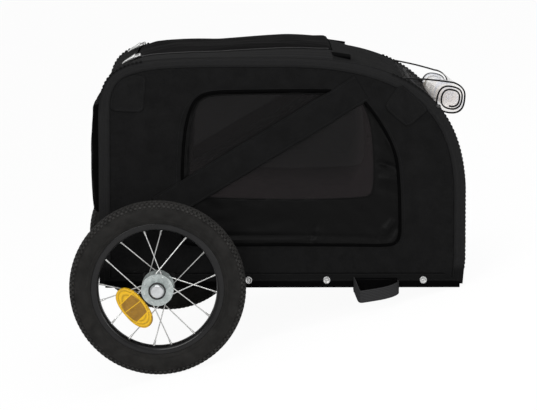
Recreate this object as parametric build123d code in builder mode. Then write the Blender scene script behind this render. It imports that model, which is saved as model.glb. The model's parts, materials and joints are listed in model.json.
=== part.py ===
"""Dog trailer for a bicycle: a fabric cabin on a folding tube frame with two spoked wheels.

Millimetres. Every piece is drawn in the towing frame: X forward, Y left, Z up, with zero
on the wheels' common axis. parked() then turns that frame nose down about the axis, to
where the trailer stands by itself: on its tyres and on the front edge of its base frame.
The origin is on the floor, at the middle of the whole trailer's length and width.
"""

from build123d import *
import math
import os

os.makedirs("parts", exist_ok=True)

# ---- base frame and cabin, driving sizes
RAIL = 25.0  # square tube of the base frame
RAIL_BOTTOM = -16.5
FRAME_REAR = -115.0
FRAME_FRONT = 606.0
FRAME_HALF = 211.5
FRAME_CORNER = 20.0
UNDER_ROUND = 3.0  # of the rails' lower outer edges
FLOOR_BOARD = 4.0
FLOOR_SEAT = 4.0  # how far the board reaches over the rails
CROSS_MEMBER_X = 300.0

FABRIC = 3.0  # lined and bound cabin fabric
FABRIC_GAP = 0.3  # between the fabric and the tubes inside it
TRIM = 1.5  # thin single fabric sewn onto the cabin
REAR_SLACK = 3.5  # how far the fabric stands out past the base frame's ends
FRONT_SLACK = 7.8
TOE_SLACK = 3.0
CABIN_REAR = FRAME_REAR - REAR_SLACK
CABIN_FRONT = FRAME_FRONT + FRONT_SLACK
TOE_FRONT = FRAME_FRONT + TOE_SLACK
CABIN_TOP = 443.2
HEM_BOTTOM = -9.0
TOE_HEIGHT = 40.0  # the front falls straight down to here, then tucks in to the frame
LEAN = 4.8  # degrees that each side wall leans inwards

ARCH_X = 248.0  # where the rear corner's curve meets the long front curve
REAR_CURVE_Z = 313.0
REAR_HANDLE_UP = 138.0  # handles of the two curves, from where they start and end
REAR_HANDLE_IN = 44.0
FRONT_HANDLE_AHEAD = 220.3
FRONT_CURVE_Z = 168.1
FRONT_HANDLE_UP = 215.9

TUBE = 16.0  # round tube of the hoops, braces and cross bars
HOOP_SLACK = 6.0  # between the hoops and the fabric that is pulled over them
REAR_BAR_IN = 36.5  # the rear cross bar, inside the rear corner's curve
REAR_BAR_DOWN = 48.5
ROOF_BAR_X = 352.0
ROOF_BAR_DOWN = 17.51  # the other cross bars, under the roof's outer face
FRONT_BAR_IN = 113.8
FRONT_BAR_DOWN = 13.82
BRACE_SET_BACK = 166.0  # from the front of the base frame to the braces' upper ends

# ---- openings in the cabin
HATCH_REAR = -52.0
HATCH_FRONT = 348.0
HATCH_MARGIN = 60.0
HOOD_SET_BACK = 128.8  # from the cabin's front to where the screen starts
HOOD_FRONT = CABIN_FRONT - HOOD_SET_BACK
SILL_TOP = 60.0
DOOR_BOTTOM = 16.0
DOOR_TOP = 330.0
DOOR_POST = 51.5  # from the doorway to the base frame's side
DOOR_HALF = FRAME_HALF - DOOR_POST
DOOR_GAP = 5.0
DOOR_CORNER = 30.0
HINGE_GAP = 0.3
POCKET = 16.0  # how far the pocket stands out of the rear door
POCKET_BOTTOM = 124.0
POCKET_TOP = 348.0
POCKET_MARGIN = 10.0  # from the pocket to the door's edges
POCKET_HALF = DOOR_HALF - POCKET_MARGIN
POCKET_ROUND = 20.0

# ---- wheels
WHEEL_SET_OUT = 83.5  # from the base frame's side to the wheel's middle
TRACK = 2 * (FRAME_HALF + WHEEL_SET_OUT)
WHEEL_R = 175.0
TYRE_WIDTH = 45.0
TREAD_HALF = 17.0
TREAD_DROP = 6.0
RIM_R = 131.0
RIM_DEPTH = 14.0
RIM_INNER_R = RIM_R - RIM_DEPTH
RIM_WIDTH = 30.0
RIM_WALL = 4.0
TYRE_GAP = 0.2
HUB_FLANGE_R = 32.0
HUB_BARREL_R = 17.0
HUB_HALF = 22.0
HUB_FLANGE = 3.0
HUB_CAP = 32.0  # from the wheel's middle to the hub's end faces
SPOKE_R = 1.1
SPOKE_CIRCLE_R = 27.0
SPOKE_STEPS = (0.0, 25.2, 48.0, 73.1)  # degrees of the four spokes of each quarter
SPOKE_START = 12.8
SPOKE_TRAIL = 36.0  # how far round the hub the first two of them start, behind their ends
SPOKE_LEAD = 47.0  # the same for the last two, ahead of their ends
AXLE_R = 6.0
BORE_GAP = 0.05
BUTTON_R = 13.0
BUTTON = 7.5
BUTTON_CHAMFER = 1.5
SLEEVE_R = 11.0
SIDE_GAP = 0.3
BRACKET_PLATE = 4.0
BRACKET_LENGTH = 64.0
BRACKET_TOP = 15.0
REFLECTOR_LENGTH = 92.0
REFLECTOR_HEIGHT = 47.0
REFLECTOR = 6.0
REFLECTOR_SET_IN = 58.4  # from the rim's inner face to the reflector's middle
REFLECTOR_R = RIM_INNER_R - REFLECTOR_SET_IN
REFLECTOR_ANGLE = 219.0
REFLECTOR_SINK = 0.1  # how deep the spokes sit in the reflector's back

# ---- tow arm on the left side
TOW_SET_BACK = 31.0  # from the base frame's front
TOW_SET_OUT = 28.5  # from the base frame's side
TOW_X = FRAME_FRONT - TOW_SET_BACK
TOW_Y = FRAME_HALF + TOW_SET_OUT
TOW_Z = 5.0
TOW_TUBE = 22.0
TOW_PIN_R = 5.0
TOW_BRACKET = 40.0
TOW_BRACKET_HEIGHT = 38.0
TOW_BRACKET_PLATE = 4.0
TOW_START = 40.0
TOW_RISE_END = 315.0
TOW_LENGTH = 375.0
TOW_RISE = 125.0
COUPLING_BORE_R = 5.1
COUPLING_WIDTH = 26.0

# ---- rain cover and straps
ROLL_R = 28.0
ROLL_IN = 26.8  # the roll's middle, from the cabin's front and over its outer face
ROLL_UP = 57.53
ROLL_MARGIN = 46.5  # from the cover's sides to the base frame's sides
ROLL_HALF = FRAME_HALF - ROLL_MARGIN
COVER = 1.2
COVER_RUN = 107.0  # from the roll's middle back to where the cover is sewn on
LOOP_REAR = 388.0
LOOP_FRONT = 478.0
LOOP_STRAP = 25.0
LOOP_THICKNESS = 2.5
LOOP_REACH = 34.0
LOOP_CORNER = 16.0

# ---- windows, in side view
WINDOW_CORNER = 12.0
SCREEN_CORNER = 6.0
WINDOW = (
    (47, 65),
    (47, 196),
    (49, 259),
    (54, 304),
    (67, 351),
    (84, 368),
    (113, 377),
    (405, 377),
    (430, 352),
    (456, 300),
    (475, 259),
    (482, 198),
    (484, 65),
)
SCREEN = (
    (59, 165),
    (61, 271),
    (72, 345),
    (92, 364),
    (115, 372),
    (400, 372),
    (420, 340),
    (430, 259),
    (430, 175),
    (424, 165),
)
BAND_WIDTH = 57.0
BAND_REACH = 1838.0  # longer than any window
BAND_LOW = (49.0, 169.0)  # on the brace's centre line
BAND_HIGH = (375.0, 365.0)

RAIL_TOP = RAIL_BOTTOM + RAIL


def roof_height(x):
    """Height of the cabin's outer face on the long front curve, found by halving."""
    low, high = 0.0, 1.0
    handle_x = ARCH_X + FRONT_HANDLE_AHEAD
    handle_z = FRONT_CURVE_Z + FRONT_HANDLE_UP
    for _ in range(40):
        t = (low + high) / 2
        u = 1 - t
        reach = u**3 * ARCH_X + 3 * u * u * t * handle_x + (3 * u + t) * t * t * CABIN_FRONT
        low, high = (t, high) if reach < x else (low, t)
    crown = (u**3 + 3 * u * u * t) * CABIN_TOP
    return crown + 3 * u * t * t * handle_z + t**3 * FRONT_CURVE_Z


ROLL_X = CABIN_FRONT - ROLL_IN
ROLL_Z = roof_height(ROLL_X) + ROLL_UP
COVER_REAR = ROLL_X - COVER_RUN
FRONT_BAR_X = CABIN_FRONT - FRONT_BAR_IN
CROSS_BARS = {
    "rear": (CABIN_REAR + REAR_BAR_IN, CABIN_TOP - REAR_BAR_DOWN),
    "roof": (ROOF_BAR_X, roof_height(ROOF_BAR_X) - ROOF_BAR_DOWN),
    "front": (FRONT_BAR_X, roof_height(FRONT_BAR_X) - FRONT_BAR_DOWN),
}
BRACE_FRONT_X = FRAME_FRONT - BRACE_SET_BACK

# ---- the parked attitude
toe_x = FRAME_FRONT - UNDER_ROUND
toe_z = RAIL_BOTTOM + UNDER_ROUND
TILT = math.degrees(
    math.atan2(toe_z, toe_x) + math.asin((WHEEL_R - UNDER_ROUND) / math.hypot(toe_x, toe_z))
)
roll_reach = (
    ROLL_X * math.cos(math.radians(TILT)) + ROLL_Z * math.sin(math.radians(TILT)) + ROLL_R
)
AXLE_X = (WHEEL_R - roll_reach) / 2
PARKED = Location((AXLE_X, 0, WHEEL_R), (0, TILT, 0))


def parked(plane):
    """The plane of the towing frame, carried into the parked frame."""
    return Plane(PARKED * plane.location)


def side_view(y=0.0):
    """Plane of sketches in X and Z that faces the right side, at the given Y."""
    return parked(Plane.XZ.offset(-y))


def deck(z=0.0):
    """Plane of sketches in X and Y at the given height."""
    return parked(Plane.XY.offset(z))


def wall_half(z, depth=0.0):
    """Half width of the cabin at a height, at a depth below the outer faces."""
    lean = math.radians(LEAN)
    inner_at_rail = FRAME_HALF + FABRIC_GAP
    return inner_at_rail + (FABRIC - depth) / math.cos(lean) + (RAIL_TOP - z) * math.tan(lean)


def wall(depth=0.0):
    """Plane of the right side wall, at a depth below its outer face."""
    lean = math.radians(LEAN)
    outward = Vector(0, -math.cos(lean), math.sin(lean))
    foot = Vector(0, -wall_half(0), 0)
    return parked(Plane(origin=foot - outward * depth, x_dir=(1, 0, 0), z_dir=outward))


def arch(inset, rear_foot, front_foot, stretch=1.0):
    """Two legs and the long curves between them, drawn inset from the cabin's outer face."""
    rear = CABIN_REAR + inset
    front = CABIN_FRONT - inset
    top = (CABIN_TOP - inset) * stretch
    rear_start = REAR_CURVE_Z * stretch
    rear_handle = (REAR_CURVE_Z + REAR_HANDLE_UP) * stretch - inset
    front_end = FRONT_CURVE_Z * stretch
    front_handle = (FRONT_CURVE_Z + FRONT_HANDLE_UP) * stretch
    Line((rear, rear_foot * stretch), (rear, rear_start))
    Bezier((rear, rear_start), (rear, rear_handle), (rear + REAR_HANDLE_IN, top), (ARCH_X, top))
    Bezier(
        (ARCH_X, top),
        (ARCH_X + FRONT_HANDLE_AHEAD, top),
        (front, front_handle),
        (front, front_end),
    )
    Line((front, front_end), (front, front_foot * stretch))


def outline(inset=0.0):
    """The cabin's closed side outline, drawn inset by a distance."""
    toe = (TOE_FRONT - inset, HEM_BOTTOM)
    arch(inset, HEM_BOTTOM, TOE_HEIGHT)
    Line((CABIN_FRONT - inset, TOE_HEIGHT), toe)
    Line(toe, (CABIN_REAR + inset, HEM_BOTTOM))


def between_walls(depth=FABRIC):
    """Trims the part in hand to the space between the two side walls."""
    right = wall(depth)
    left = Plane(
        origin=(right.origin.X, -right.origin.Y, right.origin.Z),
        x_dir=right.x_dir,
        z_dir=(right.z_dir.X, -right.z_dir.Y, right.z_dir.Z),
    )
    split(bisect_by=right, keep=Keep.BOTTOM)
    split(bisect_by=left, keep=Keep.BOTTOM)


def within_wall(outer, inner):
    """Trims the part in hand to a layer of the right wall between two depths."""
    split(bisect_by=wall(outer), keep=Keep.BOTTOM)
    split(bisect_by=wall(inner), keep=Keep.TOP)


def brace_height(x):
    """Height of the brace's centre line, and of the band over it, at a place."""
    slope = (BAND_HIGH[1] - BAND_LOW[1]) / (BAND_HIGH[0] - BAND_LOW[0])
    return BAND_LOW[1] + slope * (x - BAND_LOW[0])


def doorway(grown):
    """Outline of the rear door, grown sideways and upwards by a distance."""
    half = DOOR_HALF + grown
    low = DOOR_BOTTOM + HINGE_GAP * (grown == 0)
    FilletPolyline(
        (-half, low),
        (-half, DOOR_TOP + grown),
        (half, DOOR_TOP + grown),
        (half, low),
        radius=DOOR_CORNER + grown,
    )
    Line((half, low), (-half, low))


def rounded_outline(points, radius):
    """A closed outline through the points with rounded corners."""
    FilletPolyline(*points, radius=radius, close=True)


def finish(piece, name):
    """Labels a piece and writes it."""
    piece.part.label = name
    export_step(piece.part, f"parts/{name}.step")


def finish_pair(piece, name):
    """Writes the right-hand piece and its mirror image for the left."""
    finish(piece, f"{name}_right")
    with BuildPart() as twin:
        mirror(piece.part, about=Plane.XZ)
    finish(twin, f"{name}_left")


# ---- base frame: a ring of square tube with one cross member
frame_length = FRAME_FRONT - FRAME_REAR
frame_middle = (FRAME_FRONT + FRAME_REAR) / 2
with BuildPart() as base_frame:
    with BuildSketch(deck(RAIL_BOTTOM)):
        with Locations((frame_middle, 0)):
            RectangleRounded(frame_length, 2 * FRAME_HALF, FRAME_CORNER)
            Rectangle(frame_length - 2 * RAIL, 2 * (FRAME_HALF - RAIL), mode=Mode.SUBTRACT)
        with Locations((CROSS_MEMBER_X, 0)):
            Rectangle(RAIL, 2 * (FRAME_HALF - RAIL))
    extrude(amount=RAIL)
    underside = base_frame.faces().sort_by(Axis(deck().origin, deck().z_dir))[0]
    fillet(underside.outer_wire().edges(), UNDER_ROUND)
finish(base_frame, "base_frame")

# ---- floor board on the rails
with BuildPart() as floor_board:
    with BuildSketch(deck(RAIL_TOP)):
        with Locations((frame_middle, 0)):
            Rectangle(
                frame_length - 2 * (RAIL - FLOOR_SEAT), 2 * (FRAME_HALF - RAIL + FLOOR_SEAT)
            )
    extrude(amount=FLOOR_BOARD)
finish(floor_board, "floor_board")

# ---- hoops, braces and cross bars inside the fabric
stretch = 1 / math.cos(math.radians(LEAN))
hoop_depth = FABRIC + FABRIC_GAP + TUBE / 2
hoop_inset = hoop_depth + HOOP_SLACK
with BuildPart() as side_hoop:
    with BuildLine(wall(hoop_depth)) as hoop_path:
        arch(hoop_inset, RAIL_TOP, RAIL_TOP, stretch)
    with BuildSketch(Plane(origin=hoop_path.line @ 0, z_dir=hoop_path.line % 0)):
        Circle(TUBE / 2)
    sweep()
    split(bisect_by=deck(RAIL_TOP), keep=Keep.TOP)
finish_pair(side_hoop, "side_hoop")


# ---- braces across the windows, from the rear legs of the hoops to their front curves
brace_run = Vector(BAND_HIGH[0] - BAND_LOW[0], BAND_HIGH[1] - BAND_LOW[1])
brace_turn = math.degrees(math.atan2(brace_run.Y, brace_run.X))
brace_depth = hoop_depth + TUBE + FABRIC_GAP
brace_rear_x = CABIN_REAR + hoop_inset
with BuildPart() as side_brace:
    with BuildLine(wall(brace_depth)) as brace_path:
        Line(
            (brace_rear_x, brace_height(brace_rear_x) * stretch),
            (BRACE_FRONT_X, brace_height(BRACE_FRONT_X) * stretch),
        )
    with BuildSketch(Plane(origin=brace_path.line @ 0, z_dir=brace_path.line % 0)):
        Circle(TUBE / 2)
    sweep()
finish_pair(side_brace, "side_brace")

# ---- cross bars between the hoops
for bar, (bar_x, bar_z) in CROSS_BARS.items():
    with BuildPart() as cross_bar:
        with BuildSketch(side_view()):
            with Locations((bar_x, bar_z)):
                Circle(TUBE / 2)
        extrude(amount=FRAME_HALF, both=True)
        between_walls(hoop_depth + TUBE / 2 + FABRIC_GAP)
    finish(cross_bar, f"cross_bar_{bar}")

# ---- side walls with their windows
with BuildPart() as side_panel:
    with BuildSketch(side_view()):
        with BuildLine():
            outline()
        make_face()
        with BuildLine():
            rounded_outline(WINDOW, WINDOW_CORNER)
        make_face(mode=Mode.SUBTRACT)
        Circle(SLEEVE_R + SIDE_GAP, mode=Mode.SUBTRACT)
    extrude(amount=2 * FRAME_HALF)
    within_wall(0, FABRIC)
finish_pair(side_panel, "side_panel")

with BuildPart() as window_surround:
    with BuildSketch(side_view()):
        with BuildLine():
            rounded_outline(WINDOW, WINDOW_CORNER)
        make_face()
        with BuildLine():
            rounded_outline(SCREEN, SCREEN_CORNER)
        make_face(mode=Mode.SUBTRACT)
    extrude(amount=2 * FRAME_HALF)
    within_wall(0, TRIM)
finish_pair(window_surround, "window_surround")

with BuildPart() as window_mesh:
    with BuildSketch(side_view()):
        with BuildLine():
            rounded_outline(SCREEN, SCREEN_CORNER)
        make_face()
    extrude(amount=2 * FRAME_HALF)
    within_wall(0, TRIM)
finish_pair(window_mesh, "window_mesh")

with BuildPart() as brace_sleeve:
    with BuildSketch(side_view()):
        with BuildLine():
            rounded_outline(WINDOW, WINDOW_CORNER)
        make_face()
        with Locations(Location(BAND_LOW, brace_turn)):
            Rectangle(BAND_REACH, BAND_WIDTH, mode=Mode.INTERSECT)
    extrude(amount=2 * FRAME_HALF)
    within_wall(-TRIM, 0)
finish_pair(brace_sleeve, "brace_sleeve")


def shell_strip(x_low, x_high, z_low, z_high):
    """Side view of the shell between the side walls, within a rectangle of X and Z."""
    with BuildSketch() as strip:
        with BuildLine():
            outline()
        make_face()
        with BuildLine():
            outline(FABRIC)
        make_face(mode=Mode.SUBTRACT)
        with Locations(((x_low + x_high) / 2, (z_low + z_high) / 2)):
            Rectangle(x_high - x_low, z_high - z_low, mode=Mode.INTERSECT)
    return strip.sketch


# ---- rear wall, with the doorway cut
shell_end = CABIN_TOP + FABRIC
with BuildPart() as rear_panel:
    with BuildSketch(side_view()):
        add(shell_strip(CABIN_REAR - FABRIC, HATCH_REAR, HEM_BOTTOM + FABRIC, shell_end))
    extrude(amount=FRAME_HALF + FABRIC, both=True)
    between_walls()
    with BuildSketch(parked(Plane.YZ.offset(CABIN_REAR - FABRIC))):
        with BuildLine():
            doorway(DOOR_GAP)
        make_face()
    extrude(amount=3 * FABRIC, mode=Mode.SUBTRACT)
finish(rear_panel, "rear_panel")

# ---- rear door, which drops on the hinge along its lower edge, and its pocket
with BuildPart() as rear_door:
    with BuildSketch(parked(Plane.YZ.offset(CABIN_REAR))):
        with BuildLine():
            doorway(0)
        make_face()
    extrude(amount=FABRIC)
finish(rear_door, "rear_door")

with BuildPart() as rear_pocket:
    with BuildSketch(parked(Plane.YZ.offset(CABIN_REAR))):
        with Locations((0, (POCKET_BOTTOM + POCKET_TOP) / 2)):
            RectangleRounded(2 * POCKET_HALF, POCKET_TOP - POCKET_BOTTOM, POCKET_ROUND)
    extrude(amount=-POCKET)
    outer = rear_pocket.faces().sort_by(Axis(parked(Plane.YZ).origin, parked(Plane.YZ).z_dir))
    fillet(outer[0].edges(), POCKET_ROUND / 2)
finish(rear_pocket, "rear_pocket")

# ---- roof with its hatch
with BuildPart() as roof_panel:
    with BuildSketch(side_view()):
        add(shell_strip(HATCH_REAR, HOOD_FRONT, REAR_CURVE_Z, shell_end))
    extrude(amount=FRAME_HALF + FABRIC, both=True)
    between_walls()
    with BuildSketch(side_view()):
        with Locations(((HATCH_REAR + HATCH_FRONT) / 2, CABIN_TOP)):
            Rectangle(HATCH_FRONT - HATCH_REAR, CABIN_TOP / 2)
    extrude(amount=wall_half(CABIN_TOP, FABRIC) - HATCH_MARGIN, both=True, mode=Mode.SUBTRACT)
finish(roof_panel, "roof_panel")

with BuildPart() as roof_hatch:
    with BuildSketch(side_view()):
        add(shell_strip(HATCH_REAR + DOOR_GAP, HATCH_FRONT - HINGE_GAP, REAR_CURVE_Z, shell_end))
    extrude(amount=wall_half(CABIN_TOP, FABRIC) - HATCH_MARGIN - DOOR_GAP, both=True)
finish(roof_hatch, "roof_hatch")

# ---- front screen and the strip under it
with BuildPart() as front_screen:
    with BuildSketch(side_view()):
        add(shell_strip(HOOD_FRONT, CABIN_FRONT + FABRIC, SILL_TOP, shell_end))
    extrude(amount=FRAME_HALF + FABRIC, both=True)
    between_walls()
finish(front_screen, "front_screen")

with BuildPart() as front_sill:
    with BuildSketch(side_view()):
        add(shell_strip(HOOD_FRONT, CABIN_FRONT + FABRIC, HEM_BOTTOM + FABRIC, SILL_TOP))
    extrude(amount=FRAME_HALF + FABRIC, both=True)
    between_walls()
finish(front_sill, "front_sill")

# ---- clear rain cover, rolled up over the front
with BuildPart() as rain_cover_roll:
    with BuildSketch(side_view()):
        with Locations((ROLL_X, ROLL_Z)):
            Circle(ROLL_R)
    extrude(amount=ROLL_HALF, both=True)
finish(rain_cover_roll, "rain_cover_roll")

cover_z = roof_height(COVER_REAR) + FABRIC_GAP
with BuildPart() as rain_cover_sheet:
    with BuildSketch(side_view()):
        with BuildLine():
            Polyline(
                (COVER_REAR, cover_z),
                (ROLL_X, ROLL_Z + ROLL_R + FABRIC_GAP),
                (ROLL_X, ROLL_Z + ROLL_R + FABRIC_GAP + COVER),
                (COVER_REAR, cover_z + COVER),
                close=True,
            )
        make_face()
    extrude(amount=ROLL_HALF, both=True)
finish(rain_cover_sheet, "rain_cover_sheet")

# ---- webbing loop under the right-hand rail
loop_length = LOOP_FRONT - LOOP_REAR
loop_depth = LOOP_REACH + RAIL
loop_middle = ((LOOP_REAR + LOOP_FRONT) / 2, RAIL - FRAME_HALF - loop_depth / 2)
with BuildPart() as webbing_loop:
    with BuildSketch(deck(RAIL_BOTTOM)):
        with Locations(loop_middle):
            RectangleRounded(loop_length, loop_depth, LOOP_CORNER)
            RectangleRounded(
                loop_length - 2 * LOOP_THICKNESS,
                loop_depth - 2 * LOOP_THICKNESS,
                LOOP_CORNER - LOOP_THICKNESS,
                mode=Mode.SUBTRACT,
            )
    extrude(amount=-LOOP_STRAP)
finish(webbing_loop, "webbing_loop")

# ---- wheel brackets and the push-button axles they hold
wheel_y = TRACK / 2
with BuildPart() as wheel_bracket:
    with BuildSketch(side_view(-FRAME_HALF)):
        Circle(SLEEVE_R)
    extrude(amount=wheel_y - HUB_CAP - SIDE_GAP - FRAME_HALF)
    plate_y = -wall_half(HEM_BOTTOM) - FABRIC_GAP
    with BuildSketch(side_view(plate_y)):
        with Locations((0, (RAIL_BOTTOM - BRACKET_PLATE + BRACKET_TOP) / 2)):
            RectangleRounded(
                BRACKET_LENGTH, BRACKET_TOP + BRACKET_PLATE - RAIL_BOTTOM, BRACKET_PLATE
            )
    extrude(amount=BRACKET_PLATE)
    with BuildSketch(deck(RAIL_BOTTOM)):
        with Locations((0, (plate_y - FRAME_HALF + RAIL) / 2)):
            Rectangle(BRACKET_LENGTH - 2 * BRACKET_PLATE, RAIL - plate_y - FRAME_HALF)
    extrude(amount=-BRACKET_PLATE)
    with BuildSketch(side_view(-FRAME_HALF)):
        Circle(AXLE_R + BORE_GAP)
    extrude(amount=TRACK / 2, mode=Mode.SUBTRACT)
finish_pair(wheel_bracket, "wheel_bracket")

with BuildPart() as axle_pin:
    with BuildSketch(side_view(-FRAME_HALF)):
        Circle(AXLE_R)
    extrude(amount=wheel_y + HUB_CAP + SIDE_GAP - FRAME_HALF)
    with BuildSketch(side_view(-wheel_y - HUB_CAP - SIDE_GAP)):
        Circle(BUTTON_R)
    extrude(amount=BUTTON)
    chamfer(axle_pin.faces().sort_by(Axis.Y)[0].edges(), BUTTON_CHAMFER)
finish_pair(axle_pin, "axle_pin")

# ---- wheels
axle_line = Axis(PARKED.position, (0, 1, 0))


def wheel_section():
    """Plane of wheel sections: X outwards from the wheel's middle, Y from the axle."""
    return Plane(origin=(AXLE_X, -wheel_y, WHEEL_R), x_dir=(0, -1, 0), z_dir=(1, 0, 0))


with BuildPart() as wheel_tyre:
    with BuildSketch(wheel_section()):
        bead = RIM_WIDTH / 2 - RIM_WALL - TYRE_GAP
        side_r = (WHEEL_R + RIM_R) / 2
        with BuildLine():
            Polyline(
                (-bead, RIM_R + TYRE_GAP),
                (-bead, RIM_R - RIM_WALL),
                (bead, RIM_R - RIM_WALL),
                (bead, RIM_R + TYRE_GAP),
                (RIM_WIDTH / 2, RIM_R + TYRE_GAP + RIM_WALL / 2),
            )
            ThreePointArc(
                (RIM_WIDTH / 2, RIM_R + TYRE_GAP + RIM_WALL / 2),
                (TYRE_WIDTH / 2, side_r),
                (TREAD_HALF, WHEEL_R - TREAD_DROP),
            )
            ThreePointArc(
                (TREAD_HALF, WHEEL_R - TREAD_DROP),
                (0, WHEEL_R),
                (-TREAD_HALF, WHEEL_R - TREAD_DROP),
            )
            ThreePointArc(
                (-TREAD_HALF, WHEEL_R - TREAD_DROP),
                (-TYRE_WIDTH / 2, side_r),
                (-RIM_WIDTH / 2, RIM_R + TYRE_GAP + RIM_WALL / 2),
            )
            Line(
                (-RIM_WIDTH / 2, RIM_R + TYRE_GAP + RIM_WALL / 2), (-bead, RIM_R + TYRE_GAP)
            )
        make_face()
    revolve(axis=axle_line)
finish_pair(wheel_tyre, "tyre")

with BuildPart() as wheel_rim:
    with BuildSketch(wheel_section()):
        half = RIM_WIDTH / 2
        shelf = RIM_R - RIM_WALL - TYRE_GAP
        with BuildLine():
            Polyline(
                (-half, RIM_R),
                (-half, RIM_INNER_R + RIM_WALL),
                (-half + RIM_WALL, RIM_INNER_R),
                (half - RIM_WALL, RIM_INNER_R),
                (half, RIM_INNER_R + RIM_WALL),
                (half, RIM_R),
                (half - RIM_WALL, RIM_R),
                (half - RIM_WALL, shelf),
                (-half + RIM_WALL, shelf),
                (-half + RIM_WALL, RIM_R),
                close=True,
            )
        make_face()
    revolve(axis=axle_line)
finish_pair(wheel_rim, "rim")


def spoke_ends():
    """Pairs of hub and rim points from the wheel's middle, from outer and inner flange in turn."""
    pairs = []
    for quarter in range(4):
        for place, step in enumerate(SPOKE_STEPS):
            rim_angle = math.radians(SPOKE_START + 90 * quarter + step - TILT)
            sweep = SPOKE_LEAD if place > 1 else -SPOKE_TRAIL
            hub_angle = rim_angle + math.radians(sweep)
            hub_y = (1 if place % 2 else -1) * (HUB_HALF - HUB_FLANGE / 2)
            hub = Vector(
                SPOKE_CIRCLE_R * math.cos(hub_angle), hub_y, SPOKE_CIRCLE_R * math.sin(hub_angle)
            )
            rim_r = RIM_INNER_R - SPOKE_R / 2
            rim = Vector(rim_r * math.cos(rim_angle), 0, rim_r * math.sin(rim_angle))
            pairs.append((hub, rim))
    return pairs


wheel_middle = Vector(AXLE_X, -wheel_y, WHEEL_R)
with BuildPart() as wheel_hub:
    with BuildSketch(wheel_section()):
        with BuildLine():
            Polyline(
                (-HUB_CAP, AXLE_R + BORE_GAP),
                (-HUB_CAP, HUB_BARREL_R),
                (-HUB_HALF, HUB_BARREL_R),
                (-HUB_HALF, HUB_FLANGE_R),
                (-HUB_HALF + HUB_FLANGE, HUB_FLANGE_R),
                (-HUB_HALF + HUB_FLANGE, HUB_BARREL_R),
                (HUB_HALF - HUB_FLANGE, HUB_BARREL_R),
                (HUB_HALF - HUB_FLANGE, HUB_FLANGE_R),
                (HUB_HALF, HUB_FLANGE_R),
                (HUB_HALF, HUB_BARREL_R),
                (HUB_CAP, HUB_BARREL_R),
                (HUB_CAP, AXLE_R + BORE_GAP),
                close=True,
            )
        make_face()
    revolve(axis=axle_line)
    for hub_end, rim_end in spoke_ends():
        spoke_run = rim_end - hub_end
        with BuildSketch(Plane(origin=wheel_middle + hub_end, z_dir=spoke_run)):
            Circle(SPOKE_R)
        extrude(amount=spoke_run.length)
finish_pair(wheel_hub, "hub")

reflector_angle = math.radians(REFLECTOR_ANGLE - TILT)
radial = Vector(math.cos(reflector_angle), 0, math.sin(reflector_angle))
tangent = Vector(-math.sin(reflector_angle), 0, math.cos(reflector_angle))


def spoke_bed():
    """Depth and slope of the outer spokes where they cross the reflector's long axis."""
    beds = []
    for hub_end, rim_end in spoke_ends():
        rise = (rim_end - hub_end).dot(radial)
        share = (rim_end.dot(radial) - REFLECTOR_R) / rise
        crossing = rim_end + (hub_end - rim_end) * share
        if hub_end.Y < 0 < share < 1 and abs(crossing.dot(tangent)) < REFLECTOR_LENGTH / 2:
            beds.append((-crossing.Y, math.atan2(-hub_end.Y, rise)))
    return max(beds)


reflector_lift, reflector_slope = spoke_bed()
face_out = (
    Vector(0, -1, 0) * math.cos(reflector_slope) + radial * math.sin(reflector_slope)
).normalized()
reflector_seat = (
    wheel_middle
    + radial * REFLECTOR_R
    + Vector(0, -1, 0) * (reflector_lift + SPOKE_R)
    - face_out * REFLECTOR_SINK
)
with BuildPart() as wheel_reflector:
    with BuildSketch(Plane(origin=reflector_seat, x_dir=tangent, z_dir=face_out)):
        Ellipse(REFLECTOR_LENGTH / 2, REFLECTOR_HEIGHT / 2)
    extrude(amount=REFLECTOR)
finish_pair(wheel_reflector, "reflector")

# ---- tow bracket, pin and swinging tow arm on the left side
bracket_inner = wall_half(HEM_BOTTOM) + FABRIC_GAP
bracket_outer = TOW_Y + TOW_BRACKET / 2 - TOW_BRACKET_PLATE
with BuildPart() as tow_bracket:
    with BuildSketch(parked(Plane.YZ.offset(TOW_X - TOW_BRACKET / 2))):
        with Locations(((bracket_inner + bracket_outer) / 2, TOW_Z)):
            Rectangle(bracket_outer - bracket_inner, TOW_BRACKET_HEIGHT)
        with Locations(((bracket_inner + bracket_outer) / 2 + TOW_BRACKET_PLATE, TOW_Z)):
            Rectangle(
                bracket_outer - bracket_inner,
                TOW_BRACKET_HEIGHT - 2 * TOW_BRACKET_PLATE,
                mode=Mode.SUBTRACT,
            )
    extrude(amount=TOW_BRACKET)
    with BuildSketch(deck(TOW_Z - TOW_BRACKET_HEIGHT)):
        with Locations((TOW_X, TOW_Y)):
            Circle(TOW_PIN_R + BORE_GAP)
    extrude(amount=2 * TOW_BRACKET_HEIGHT, mode=Mode.SUBTRACT)
finish(tow_bracket, "tow_bracket")

pin_low = TOW_Z - TOW_BRACKET_HEIGHT / 2
with BuildPart() as tow_pin:
    with BuildSketch(deck(pin_low)):
        with Locations((TOW_X, TOW_Y)):
            Circle(TOW_PIN_R)
    extrude(amount=TOW_BRACKET_HEIGHT)
    with BuildSketch(deck(pin_low + TOW_BRACKET_HEIGHT)):
        with Locations((TOW_X, TOW_Y)):
            Circle(2 * TOW_PIN_R)
    extrude(amount=TOW_BRACKET_PLATE)
finish(tow_pin, "tow_pin")

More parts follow.
